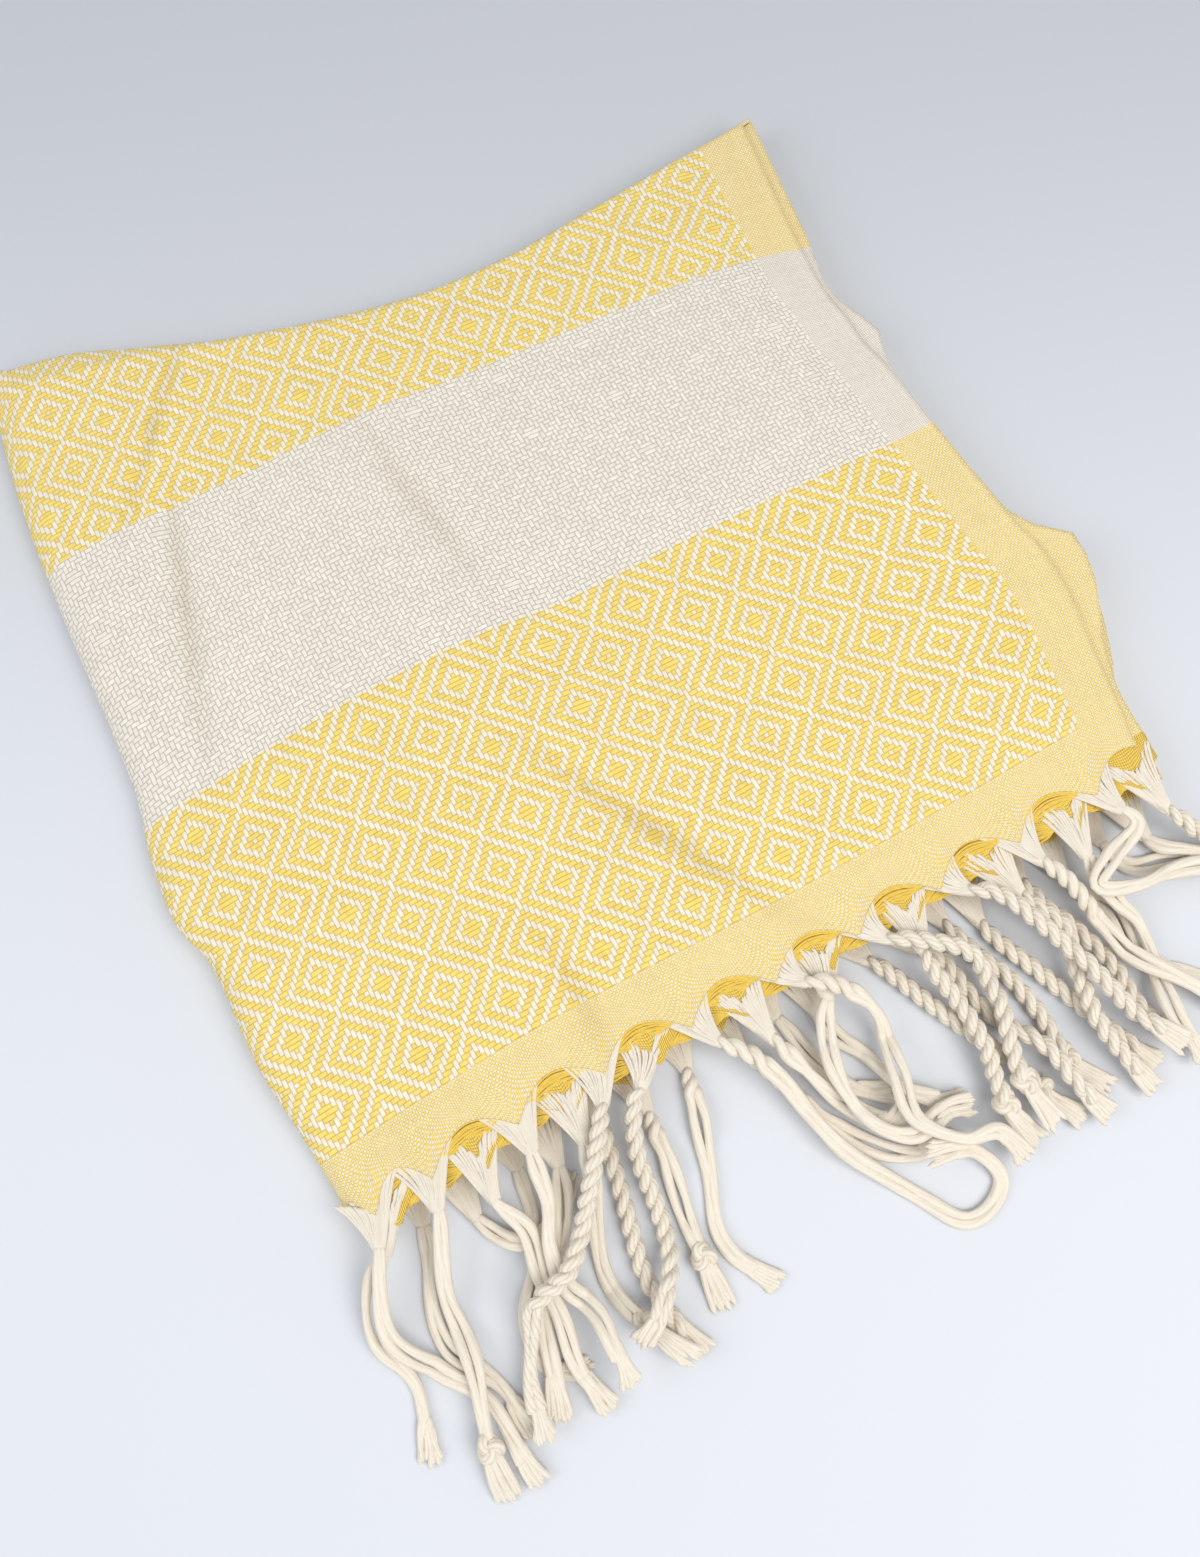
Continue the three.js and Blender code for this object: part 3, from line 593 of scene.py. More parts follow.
# %% [markdown]
# The weave is drawn on the cloth's own flat sizes, so each vertex also gets its place
# on the flat towel: how far it is from the right selvedge, and how far from the outer
# fringed end. On the top layer these come from three lines that show on the real
# cloth: the front edge and both edges of the cream band. In the middle of the pile
# the weave stays even, and close to the wavy selvedge it bends with the edge. The
# tassels pull threads and all, so the scalloped hem keeps the flat places of the
# straight one.

# %% Places on the flat towel
BAND_START = 120
BAND_END = 200
BAND_LINES = [
    {"at": -125, "front": -2, "back": 83},
    {"at": -100, "front": 1, "back": 84},
    {"at": -60, "front": 3.5, "back": 83},
    {"at": -20, "front": 3, "back": 84},
    {"at": 0, "front": 0.5, "back": 81.5},
    {"at": 40, "front": 0, "back": 78.5},
    {"at": 80, "front": -1, "back": 76},
    {"at": 110, "front": -2, "back": 72},
    {"at": 125, "front": -2, "back": 68},
]
EVEN_EDGE_X = 125.5
EDGE_BEND_FROM = 66


def flat_across(x, y):
    edge = on_table(RIGHT_EDGE, "top", y)
    bend = smooth_between(EDGE_BEND_FROM, edge, x)
    return EVEN_EDGE_X - x + (edge - EVEN_EDGE_X) * bend


def flat_along(x, y):
    front = on_table(FRONT_EDGE, "top", x)
    band_front = on_table(BAND_LINES, "front", x)
    band_back = on_table(BAND_LINES, "back", x)
    if y < band_front:
        return BAND_START * (y - front) / (band_front - front)
    if y < band_back:
        return mix(BAND_START, BAND_END, (y - band_front) / (band_back - band_front))
    return BAND_END + y - band_back


def end_shift(index, across, x):
    """The scalloped hem's shift at a stop along, nothing far from both ends."""
    upper = across["angle"] < math.pi / 2
    along = ALONG[index]
    if index < len(ALONG) / 2 and along["layer"] == OUTER_LAYER:
        return hem_shift(x, along["y"] - PILE_FRONT, OUTER_TOP if upper else OUTER_LOWER)
    if index > len(ALONG) / 2 and along["layer"] == SECOND_LAYER:
        return hem_shift(x, along["y"] - INNER_END_Y, INNER_TOP if upper else INNER_LOWER)
    return Vector()


print("Band from", BAND_START, "to", BAND_END, "mm of the flat length")

# %% [markdown]
# The grid is bent into the folds vertex by vertex, and a Solidify modifier gives the
# sheet its thickness. Smooth shading rounds the folds. Each vertex also keeps how
# deep it lies in a fine trough, which the cloth material reads to shade it.

# %% Folded sheet
def sheet_places():
    """For each stop across and along: the settled place and the place on the flat towel."""
    places = {}
    turn = next(i for i, stop in enumerate(ACROSS) if stop["x"] <= SIDE_TURN_X)
    back_turn = next(j for j, stop in enumerate(ALONG) if stop["y"] >= BACK_TURN_Y)
    for i, across in enumerate(ACROSS):
        neat = [neat_place(across, along) for along in ALONG]
        column = [settle(*place) for place in neat]
        travelled = [0]
        for before, after in zip(column[back_turn:], column[back_turn + 1:]):
            travelled.append(travelled[-1] + (after - before).length)
        for j, place in enumerate(column):
            if i <= turn:
                u = flat_across(place.x, min(place.y, PILE_BACK))
            else:
                radius = FOLD_RADIUS + ALONG[j]["layer"]
                beyond = radius * across["angle"] + max(0, across["x"] - SIDE_TURN_X)
                u = places[turn, j][1] + beyond
            if j <= back_turn:
                v = flat_along(min(place.x, PILE_HALF_WIDTH), place.y)
            else:
                part = travelled[j - back_turn] / travelled[-1]
                v = mix(places[i, back_turn][2], TOWEL_LENGTH, part)
            places[i, j] = (place + end_shift(j, across, neat[j][0]), u, v)
    return places


def make_sheet():
    places = sheet_places()
    across_cells = len(ACROSS) - 1
    along_cells = len(ALONG) - 1
    mesh = bmesh.new()
    flat = mesh.loops.layers.uv.new("flat_towel")
    trough = mesh.verts.layers.float.new("trough_depth")
    bmesh.ops.create_grid(mesh, x_segments=across_cells, y_segments=along_cells, size=0.5)
    stops = {}
    for vert in mesh.verts:
        i = round((0.5 - vert.co.x) * across_cells)
        j = round((vert.co.y + 0.5) * along_cells)
        stops[vert.index] = (i, j)
    for vert in mesh.verts:
        place = places[stops[vert.index]][0]
        vert.co = place * MM
        vert[trough] = max(0, -crease_lift(place.x, place.y, FINE_CREASES))
    for face in mesh.faces:
        face.smooth = True
        for loop in face.loops:
            _, u, v = places[stops[loop.vert.index]]
            loop[flat].uv = (u * MM, v * MM)
    data = bpy.data.meshes.new("towel_sheet")
    mesh.to_mesh(data)
    mesh.free()
    sheet = bpy.data.objects.new("towel_sheet", data)
    bpy.context.collection.objects.link(sheet)
    solidify = sheet.modifiers.new("thickness", "SOLIDIFY")
    solidify.thickness = SHEET * MM
    solidify.offset = 0
    return sheet


towel_sheet = make_sheet()
print("Sheet faces:", len(towel_sheet.data.polygons))

# %% [markdown]
# Weave patterns are arithmetic: remainders, distances and comparisons of thread
# numbers. This small class lets that arithmetic be written as a formula, and sets one
# Math node for each step of it.

# %% Formulas in Math nodes
class Field:
    """A number that changes over a surface."""

    def __init__(self, tree, socket):
        self.tree = tree
        self.socket = socket

    def step(self, operation, *others):
        node = self.tree.nodes.new("ShaderNodeMath")
        node.operation = operation
        for place, value in enumerate((self,) + others):
            if isinstance(value, Field):
                self.tree.links.new(value.socket, node.inputs[place])
            else:
                node.inputs[place].default_value = value
        return Field(self.tree, node.outputs[0])

    def __add__(self, other):
        return self.step("ADD", other)

    def __sub__(self, other):
        return self.step("SUBTRACT", other)

    def __mul__(self, other):
        return self.step("MULTIPLY", other)

    def __truediv__(self, other):
        return self.step("DIVIDE", other)

    def __lt__(self, other):
        return self.step("LESS_THAN", other)

    def __gt__(self, other):
        return self.step("GREATER_THAN", other)

    def turned(self):
        """One minus this number."""
        return self * -1 + 1

    def remainder(self, whole):
        return self.step("FLOORED_MODULO", whole)

    def between(self, other, part):
        """This number where part is 0, the other where part is 1."""
        return (other - self) * part + self

    def ramp(self, low, high):
        """Rises smoothly from 0 at low to 1 at high."""
        node = self.tree.nodes.new("ShaderNodeMapRange")
        node.interpolation_type = "SMOOTHSTEP"
        self.tree.links.new(self.socket, node.inputs["Value"])
        node.inputs["From Min"].default_value = low
        node.inputs["From Max"].default_value = high
        return Field(self.tree, node.outputs["Result"])


def new_group(name, inputs, outputs):
    """A shader node group with named number inputs and named outputs."""
    tree = bpy.data.node_groups.new(name, "ShaderNodeTree")
    for socket_name, value in inputs.items():
        socket = tree.interface.new_socket(socket_name, in_out="INPUT", socket_type="NodeSocketFloat")
        socket.default_value = value
    for socket_name in outputs:
        tree.interface.new_socket(socket_name, in_out="OUTPUT", socket_type="NodeSocketFloat")
    source = tree.nodes.new("NodeGroupInput")
    sink = tree.nodes.new("NodeGroupOutput")
    return tree, source, sink


def place_group(tree, group, **values):
    """Places a group in a tree and sets or links its inputs, underscores for spaces."""
    node = tree.nodes.new("ShaderNodeGroup")
    node.node_tree = group
    for name, value in values.items():
        socket = node.inputs[name.replace("_", " ")]
        if isinstance(value, Field):
            tree.links.new(value.socket, socket)
        else:
            socket.default_value = value
    return node


def mix_colours(tree, part, first, second, blend="MIX"):
    node = tree.nodes.new("ShaderNodeMix")
    node.data_type = "RGBA"
    node.blend_type = blend
    for name, value in {"Factor": part, "A": first, "B": second}.items():
        kind = "VALUE" if name == "Factor" else "RGBA"
        socket = next(s for s in node.inputs if s.name == name and s.type == kind)
        if isinstance(value, Field):
            tree.links.new(value.socket, socket)
        elif isinstance(value, bpy.types.NodeSocket):
            tree.links.new(value, socket)
        else:
            socket.default_value = value
    return next(s for s in node.outputs if s.type == "RGBA")


def noise(tree, vector, scale, detail=2.0):
    node = tree.nodes.new("ShaderNodeTexNoise")
    node.inputs["Scale"].default_value = scale
    node.inputs["Detail"].default_value = detail
    tree.links.new(vector, node.inputs["Vector"])
    return Field(tree, node.outputs["Fac"])


print("Math helpers ready")

# %% [markdown]
# The diamond cloth is a twill of two over and two under, turned into rings round a
# dot. On squared paper, count threads sideways and lengthways from the nearest dot,
# add the two counts and take one off. The yellow weft lies on top in the first two
# of every four. The borders are plain weave, one over and one under. The chart group
# answers one question for any thread crossing: is the weft on top?

# %% Chart of the weave
ENDS_IN_DIAMOND = 22
PICKS_IN_DIAMOND = 16
RING_STEP = 4


def chart_group():
    inputs = {"End": 0.0, "Pick": 0.0, "Plain": 0.0}
    tree, source, sink = new_group("diamond_chart", inputs, ["Weft Up"])
    end = Field(tree, source.outputs["End"])
    pick = Field(tree, source.outputs["Pick"])
    plain = Field(tree, source.outputs["Plain"])

    def from_dot(thread, repeat):
        half = repeat / 2
        return ((thread + half).remainder(repeat) - half).step("ABSOLUTE")

    rings = from_dot(end, ENDS_IN_DIAMOND) + from_dot(pick, PICKS_IN_DIAMOND) - 1
    rings = rings.step("MAXIMUM", 0)
    twill = rings.remainder(RING_STEP) < RING_STEP / 2 - 0.5
    checks = (end + pick).remainder(2) > 0.5
    weft_up = twill.between(checks, plain)
    tree.links.new(weft_up.socket, sink.inputs["Weft Up"])
    return tree


DIAMOND_CHART = chart_group()
print("Chart nodes:", len(DIAMOND_CHART.nodes))

# %% [markdown]
# The cloth group turns the chart into yarns. Inside each crossing it knows how far
# the point is from the middle of both threads. The yarn on top is round across its
# own width, and dips at an end only where the next crossing hides it, so floats run
# on as one smooth stitch. Low places between yarns are darker, as little light gets
# in. In the diamonds the yarns run in pairs, with a fine groove between the two. In
# the plain borders each yarn weaves by itself, so the threads there are half as wide.
# Every yarn and every stitch has a slightly different tone, and the threads wander
# a little, as in any hand-loomed cloth. At the inner end, seen through the notches
# of the outer one, the weft has slipped off its warp. It lies bare there and is
# marked for a deeper gold: partly its own yellow, partly painted shade and bounced
# light of the notches.

# %% Woven cloth
END_PITCH = 27.8 / ENDS_IN_DIAMOND
PICK_PITCH = 21.05 / PICKS_IN_DIAMOND
FIRST_DOT_ACROSS = 161.5
FIRST_DOT_ALONG = 67.6
PLAIN_BORDER = 15.5
SELVEDGE_STRIP = 14.5
WANDER = 0.3
DRIFT_SCALE = 0.06
RIPPLE_SCALE = 0.35
YARN_ROUNDNESS = 0.6
GROOVE_SHARPNESS = 5
PAIR_GROOVE = 0.4
STITCH_TONE = 0.6
# Length of the bare weft at the inner end, which gets painted notch shade.
BARE_SHADED_WEFT = 11


def cloth_group():
    tree, source, sink = new_group(
        "woven_cloth",
        {"Across": 0.0, "Along": 0.0},
        ["Weft Up", "Height", "Band", "Plain", "Yarn Tone", "Bare Shaded Weft"],
    )
    across = Field(tree, source.outputs["Across"])
    along = Field(tree, source.outputs["Along"])
    flat = tree.nodes.new("ShaderNodeCombineXYZ")
    tree.links.new(across.socket, flat.inputs["X"])
    tree.links.new(along.socket, flat.inputs["Y"])
    drift = noise(tree, flat.outputs[0], DRIFT_SCALE) - 0.5
    ripple = noise(tree, flat.outputs[0], RIPPLE_SCALE) - 0.5
    wander = drift * (WANDER * 4) + ripple * WANDER

    from_end = (along - TOWEL_LENGTH / 2).step("ABSOLUTE") * -1 + TOWEL_LENGTH / 2
    border = from_end < PLAIN_BORDER
    from_side = (across - TOWEL_WIDTH / 2).step("ABSOLUTE") * -1 + TOWEL_WIDTH / 2
    strip = from_side < SELVEDGE_STRIP
    plain = border.step("MAXIMUM", strip)
    band = (from_end > BAND_START) * (from_end < BAND_END)

    threads = plain + 1
    end_count = (across + wander - FIRST_DOT_ACROSS) / END_PITCH * threads + 0.5
    pick_count = (along + wander - FIRST_DOT_ALONG) / PICK_PITCH * threads + 0.5
    end = end_count.step("FLOOR")
    pick = pick_count.step("FLOOR")
    off_end = end_count - end - 0.5
    off_pick = pick_count - pick - 0.5

    here = place_group(tree, DIAMOND_CHART, End=end, Pick=pick, Plain=plain)
    next_end = end + off_end.step("SIGN")
    next_pick = pick + off_pick.step("SIGN")
    beside = place_group(tree, DIAMOND_CHART, End=next_end, Pick=pick, Plain=plain)
    ahead = place_group(tree, DIAMOND_CHART, End=end, Pick=next_pick, Plain=plain)
    weft_up = Field(tree, here.outputs[0])
    weft_beside = Field(tree, beside.outputs[0])
    warp_ahead = Field(tree, ahead.outputs[0]).turned()

    def rounded(off):
        return (off * math.pi).step("COSINE").step("POWER", YARN_ROUNDNESS)

    def groove(off):
        middle = (off * (2 * math.pi)).step("COSINE") * 0.5 + 0.5
        return (middle.step("POWER", GROOVE_SHARPNESS) * plain.turned() * PAIR_GROOVE).turned()

    weft_dip = rounded(off_end).between(plain * 0 + 1, weft_beside)
    warp_dip = rounded(off_pick).between(plain * 0 + 1, warp_ahead)
    weft_height = rounded(off_pick) * groove(off_pick) * weft_dip
    warp_height = rounded(off_end) * groove(off_end) * warp_dip
    height = warp_height.between(weft_height, weft_up)

    def random_tone(first, second):
        place = tree.nodes.new("ShaderNodeCombineXYZ")
        tree.links.new(first.socket, place.inputs["X"])
        tree.links.new(second.socket, place.inputs["Y"])
        tone = tree.nodes.new("ShaderNodeTexWhiteNoise")
        tree.links.new(place.outputs[0], tone.inputs["Vector"])
        return Field(tree, tone.outputs["Value"])

    yarn_tone = random_tone(end * weft_up.turned(), pick * weft_up)
    tone = yarn_tone.between(random_tone(end, pick), plain * 0 + STITCH_TONE)

    # Mask of the bare weft: its own yellow, painted darker as the shade and bounced light of the
    # notches.
    bare_shaded_weft = along > TOWEL_LENGTH - BARE_SHADED_WEFT

    results = {
        "Weft Up": weft_up,
        "Height": height,
        "Band": band,
        "Plain": plain,
        "Yarn Tone": tone,
        "Bare Shaded Weft": bare_shaded_weft,
    }
    for name, field in results.items():
        tree.links.new(field.socket, sink.inputs[name])
    return tree


WOVEN_CLOTH = cloth_group()
print("Cloth nodes:", len(WOVEN_CLOTH.nodes))

# %% [markdown]
# The cotton is matt and slightly hairy. The cloth material colours the weft yellow,
# and cream in the band, and the warp cream. Among the yellow the warp is tinted
# yellow, partly where yellow shows through and partly as painted bounced light.
# Shade in the yellow turns to a warm amber, because light that bounces between yellow
# yarns grows yellower. The bare weft at the inner end is a deeper gold: partly its
# own yellow with no cream over it, partly painted shade and bounced light of the
# notches. The bottoms of the fine troughs are painted a little darker, as shade, and
# long soft waves in the relief keep the cloth from looking ironed.

# %% Cloth material
PLAIN_LIGHT = -0.04
# Bare weft gold: the yarn's yellow with painted shade and bounced light of the notches.
BARE_GOLD_AND_NOTCH_SHADE = (0.84, 0.62, 0.14, 1)
GOLD_SHADE = (0.50, 0.29, 0.04, 1)
YELLOW_YARN = (0.90, 0.71, 0.19, 1)
AMBER_SHADE = (0.70, 0.46, 0.08, 1)
CREAM_YARN = (0.86, 0.81, 0.73, 1)
CREAM_SHADE = (0.56, 0.50, 0.42, 1)
# Warp among yellow: yellow shows through, plus painted bounced light from the yellow weft.
WARP_YELLOW_SHOW_THROUGH_AND_BOUNCE = (0.88, 0.82, 0.66, 1)
WARP_SHADE = (0.70, 0.56, 0.34, 1)
TONE_SHADE = (0.50, 0.42, 0.30, 1)
TONE_PART = 0.26
TROUGH_SHADE = (0.72, 0.66, 0.56, 1)
TROUGH_PART = 0.38
YARN_RELIEF = 0.22
FIBRE_RELIEF = 0.06
WAVE_RELIEF = 2.4
WAVES_PER_METRE = 36
FIBRES_PER_METRE = 2600
SINGLE_FLATTENING = 0.7
LIT_HEIGHTS = (0.05, 0.75)
CLOTH_SHEEN = 0.12
COTTON_ROUGHNESS = 0.92
COTTON_SHEEN_ROUGHNESS = 0.5
COTTON_SPECULAR = 0.2


def finish_shader(tree, shader, relief, sheen):
    """Cotton's matt finish with a relief in millimetres."""
    bump = tree.nodes.new("ShaderNodeBump")
    bump.inputs["Distance"].default_value = MM
    tree.links.new(relief.socket, bump.inputs["Height"])
    tree.links.new(bump.outputs["Normal"], shader.inputs["Normal"])
    shader.inputs["Roughness"].default_value = COTTON_ROUGHNESS
    shader.inputs["Sheen Weight"].default_value = sheen
    shader.inputs["Sheen Roughness"].default_value = COTTON_SHEEN_ROUGHNESS
    shader.inputs["Specular IOR Level"].default_value = COTTON_SPECULAR


def cloth_material():
    material = bpy.data.materials.new("yellow_diamond_cloth")
    material.use_nodes = True
    tree = material.node_tree
    shader = tree.nodes["Principled BSDF"]
    uv = tree.nodes.new("ShaderNodeUVMap")
    uv.uv_map = "flat_towel"
    parts = tree.nodes.new("ShaderNodeSeparateXYZ")
    tree.links.new(uv.outputs["UV"], parts.inputs[0])
    across = Field(tree, parts.outputs["X"]) / MM
    along = Field(tree, parts.outputs["Y"]) / MM
    weave = place_group(tree, WOVEN_CLOTH, Across=across, Along=along)
    weft_up = Field(tree, weave.outputs["Weft Up"])
    height = Field(tree, weave.outputs["Height"])
    band = Field(tree, weave.outputs["Band"])
    tone = Field(tree, weave.outputs["Yarn Tone"])

    weft = mix_colours(tree, band, YELLOW_YARN, CREAM_YARN)
    # The warp among yellow carries painted bounced light as well as show-through.
    warp = mix_colours(tree, band, WARP_YELLOW_SHOW_THROUGH_AND_BOUNCE, CREAM_YARN)
    weft_shade = mix_colours(tree, band, AMBER_SHADE, CREAM_SHADE)
    warp_shade = mix_colours(tree, band, WARP_SHADE, CREAM_SHADE)
    # Painted shade: the bare weft in the notches is painted a deeper gold.
    bare_shaded = Field(tree, weave.outputs["Bare Shaded Weft"])
    top = mix_colours(tree, bare_shaded, mix_colours(tree, weft_up, warp, weft), BARE_GOLD_AND_NOTCH_SHADE)
    shade = mix_colours(tree, bare_shaded, mix_colours(tree, weft_up, warp_shade, weft_shade), GOLD_SHADE)
    single = Field(tree, weave.outputs["Plain"])
    light = (height + single * PLAIN_LIGHT).ramp(*LIT_HEIGHTS)
    colour = mix_colours(tree, light, shade, top)
    toned = mix_colours(tree, tone * TONE_PART, colour, TONE_SHADE, "MULTIPLY")
    trough = tree.nodes.new("ShaderNodeAttribute")
    trough.attribute_name = "trough_depth"
    depth = Field(tree, trough.outputs["Fac"])
    shaded = mix_colours(tree, depth * TROUGH_PART, toned, TROUGH_SHADE, "MULTIPLY")
    tree.links.new(shaded, shader.inputs["Base Color"])

    position = tree.nodes.new("ShaderNodeTexCoord")
    fibre = noise(tree, position.outputs["Object"], FIBRES_PER_METRE)
    soft_waves = noise(tree, position.outputs["Object"], WAVES_PER_METRE, 1.0)
    relief = height * (single * -SINGLE_FLATTENING + 1) * YARN_RELIEF + soft_waves * WAVE_RELIEF
    finish_shader(tree, shader, relief + fibre * FIBRE_RELIEF, CLOTH_SHEEN)
    return material


towel_sheet.data.materials.append(cloth_material())
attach(towel_sheet, BODY)
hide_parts("towel_cloth")
print("Cloth material ready")

# %% [markdown]
# A cord is laid as a hand would lay it. It falls from its root to the table, rests
# there, and passes over each cord that is already down in a long low hump. This is
# the same rule that laid the CAD cords, so both lie together.

# %% Routes of the cords
SEAM_GAP = 0.35
ROOT_STRIP = 2.5
CORD_HALF_WIDTH = 2.6
CORD_HALF_DEPTH = 2.0
LOOSE_HALF_WIDTH = 3.0
LOOSE_HALF_DEPTH = 1.2
FAN_HALF_WIDTH = 4.2
FAN_HALF_DEPTH = 0.6
FAN_LENGTH = 8
GATHER_LENGTH = 7
KNOT_RADIUS = 3.3
KNOT_FROM_END = 16
KNOT_HALF_LENGTH = 3.5
BRUSH_HALF_WIDTH = 3.4
BRUSH_HALF_DEPTH = 1.5
CORD_GAP = 0.5
HANG_RUN = 9
HANG_FALL = 34
HUMP_SHARPNESS = 0.03
ROOT_PULL = 0.8
SAMPLES_PER_LEG = 14


def on_route(points, part):
    """A point on a smooth curve through the plan points, straight out at the root."""
    pieces = len(points) - 1
    piece = min(int(part * pieces), pieces - 1)
    t = part * pieces - piece
    start = points[piece]
    end = points[piece + 1]
    before = points[piece - 1] if piece > 0 else start
    after = points[piece + 2] if piece + 2 <= pieces else end
    start_slope = (end - before) * 0.5
    end_slope = (after - start) * 0.5
    if piece == 0:
        start_slope = Vector((0, -ROOT_PULL * (end - start).length))
    return smooth_curve(start, start_slope, end, end_slope, t)


def plan_route(points):
    route = []
    travelled = 0
    samples = SAMPLES_PER_LEG * (len(points) - 1)
    for i in range(samples + 1):
        point = on_route(points, i / samples)
        if route:
            travelled += (point - route[-1]["point"]).length
        route.append({"point": point, "travelled": travelled})
    return route


def cord_section(row, travelled, length):
    """Half the width of a cord and half the height that it needs, at a place on its way."""
    gathered = smooth_between(FAN_LENGTH, FAN_LENGTH + GATHER_LENGTH, travelled)
    loose = smooth_between(row["twist"], row["twist"] + GATHER_LENGTH, travelled)
    knot = length - KNOT_FROM_END
    brush = smooth_between(knot + KNOT_HALF_LENGTH, length, travelled)
    tied = max(0, 1 - ((travelled - knot) / KNOT_HALF_LENGTH) ** 2) if row["knot"] else 0
    width = mix(FAN_HALF_WIDTH, mix(CORD_HALF_WIDTH, LOOSE_HALF_WIDTH, loose), gathered)
    depth = mix(FAN_HALF_DEPTH, mix(CORD_HALF_DEPTH, LOOSE_HALF_DEPTH, loose), gathered)
    width = mix(mix(width, KNOT_RADIUS, tied), BRUSH_HALF_WIDTH, brush)
    depth = mix(mix(depth, KNOT_RADIUS, tied), BRUSH_HALF_DEPTH, brush)
    turning = gathered == 1 and loose < 1 and brush < 0.5
    return width, max(width, depth) if turning else depth


def lay_cord(row, points, root_z, laid):
    route = plan_route(points)
    length = route[-1]["travelled"]
    for step in route:
        width, room = cord_section(row, step["travelled"], length)
        fall = smooth_between(HANG_RUN, HANG_RUN + HANG_FALL, step["travelled"])
        rest = max(room, mix(root_z, room, fall))
        for other in laid:
            apart = (step["point"] - other["point"]).length / (width + other["width"] + CORD_GAP)
            if apart < 1:
                lift = room + other["room"] + CORD_GAP
                rest = max(rest, other["z"] + lift * math.sqrt(1 - apart * apart))
        step["width"] = width
        step["room"] = room
        step["rest"] = root_z if step["travelled"] < FAN_LENGTH else rest
    for step in route:
        humps = [s["rest"] - HUMP_SHARPNESS * (step["travelled"] - s["travelled"]) ** 2 for s in route]
        step["z"] = root_z if step["travelled"] < FAN_LENGTH else max(step["rest"], *humps)
    laid.extend(route)
    return {"row": row, "route": route, "length": length}


def lay_edge(edge, laid):
    cords = []
    strip = {"y": edge["y"] - SEAM_GAP - ROOT_STRIP / 2, "layer": edge["layer"]}
    for row in edge["tassels"]:
        root = settle(*neat_place({"x": row["root"], "angle": edge["angle"]}, strip))
        points = [root.xy] + [Vector(place) for place in row["route"]]
        cord = lay_cord(row, points, root.z, laid)
        cord["edge"] = edge
        cords.append(cord)
    return cords


LAID = []
OUTER_CORDS = lay_edge(OUTER_LOWER, LAID)
INNER_CORDS = lay_edge(INNER_LOWER, LAID)
INNER_CORDS += lay_edge(INNER_TOP, LAID)
OUTER_CORDS += lay_edge(OUTER_TOP, LAID)
print("Cords laid:", len(OUTER_CORDS), "outer and", len(INNER_CORDS), "inner")

# %% [markdown]
# Every yarn, ply and knot is a tube. A tube is a small grid rolled round a line of
# centres: one side of the grid goes round, the other goes along. Its two end rings
# shrink to a point, and the seam is merged, so it ends up closed. Its UV map counts
# turns round the tube and millimetres along it, for the fine lines of the fibres.
# A tube can be flattened, and its fibres can be laid straighter than in a twisted ply.

# %% Tubes from rolled grids
PLY_SIDES = 8
YARN_SIDES = 5
POINTED = 0.02
TWISTED = 0
LOOSE = 1
STRAIGHT_FIBRES = 0.2
LEVEL_ENOUGH = 0.3
MERGE_DISTANCE = 1e-6


def line_frames(centres):
    """A side and an upward direction at each centre, the side level with the table."""
    frames = []
    side = Vector((1, 0, 0))
    for i in range(len(centres)):
        ahead = centres[min(i + 1, len(centres) - 1)]
        behind = centres[max(i - 1, 0)]
        forward = (ahead - behind).normalized()
        level = Vector((-forward.y, forward.x, 0))
        if level.length > LEVEL_ENOUGH:
            side = level.normalized()
        frames.append((side, forward.cross(side).normalized()))
    return frames


def add_tube(mesh, centres, radii, sides, flatness=1.0, finish=TWISTED):
    rings = len(centres) - 1
    flat = mesh.loops.layers.uv.verify()
    made = bmesh.ops.create_grid(mesh, x_segments=sides, y_segments=rings, size=0.5, calc_uvs=True)
    frames = line_frames(centres)
    lengths = [0]
    for before, after in zip(centres, centres[1:]):
        lengths.append(lengths[-1] + (after - before).length)
    faces = set()
    for vert in made["verts"]:
        ring = round((vert.co.y + 0.5) * rings)
        angle = 2 * math.pi * (vert.co.x + 0.5)
        side, up = frames[ring]
        out = side * math.cos(angle) + up * math.sin(angle) * flatness
        pointed = POINTED if ring in (0, rings) else 1
        vert.co = (centres[ring] + out * radii[ring] * pointed) * MM
        faces.update(vert.link_faces)
    fibre_twist = 1 if finish == TWISTED else STRAIGHT_FIBRES
    for face in faces:
        face.smooth = True
        face.material_index = finish
        for loop in face.loops:
            uv = loop[flat].uv
            uv.y = lengths[round(uv.y * rings)] * fibre_twist * MM
    return made["verts"]


def finish_piece(mesh, name, materials, node):
    bmesh.ops.remove_doubles(mesh, verts=mesh.verts, dist=MERGE_DISTANCE)
    bmesh.ops.recalc_face_normals(mesh, faces=mesh.faces)
    data = bpy.data.meshes.new(name)
    mesh.to_mesh(data)
    mesh.free()
    for material in materials:
        data.materials.append(material)
    piece = bpy.data.objects.new(name, data)
    bpy.context.collection.objects.link(piece)
    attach(piece, BODY)
    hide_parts(node)
    return piece


def curve_between(start, start_slope, end, end_slope, steps):
    """Points on a smooth curve from one point to another."""
    return [smooth_curve(start, start_slope, end, end_slope, i / steps) for i in range(steps + 1)]


print("Tube helper ready")

# %% [markdown]
# The cord material is undyed cotton. Fine ridges run along each ply at a slant,
# where its own yarns are twisted, with painted shade in the grooves between them, a
# little hair and a slightly uneven tone. The loose weft yarns in the notches of the
# hem are the same cotton, dyed yellow, and painted a deeper gold for the shade and
# bounced light of the notches.

# %% Cord and weft materials
CORD_CREAM = (0.83, 0.77, 0.67, 1)
CORD_SHADE = (0.60, 0.52, 0.41, 1)
CORD_SOIL = (0.84, 0.76, 0.64, 1)
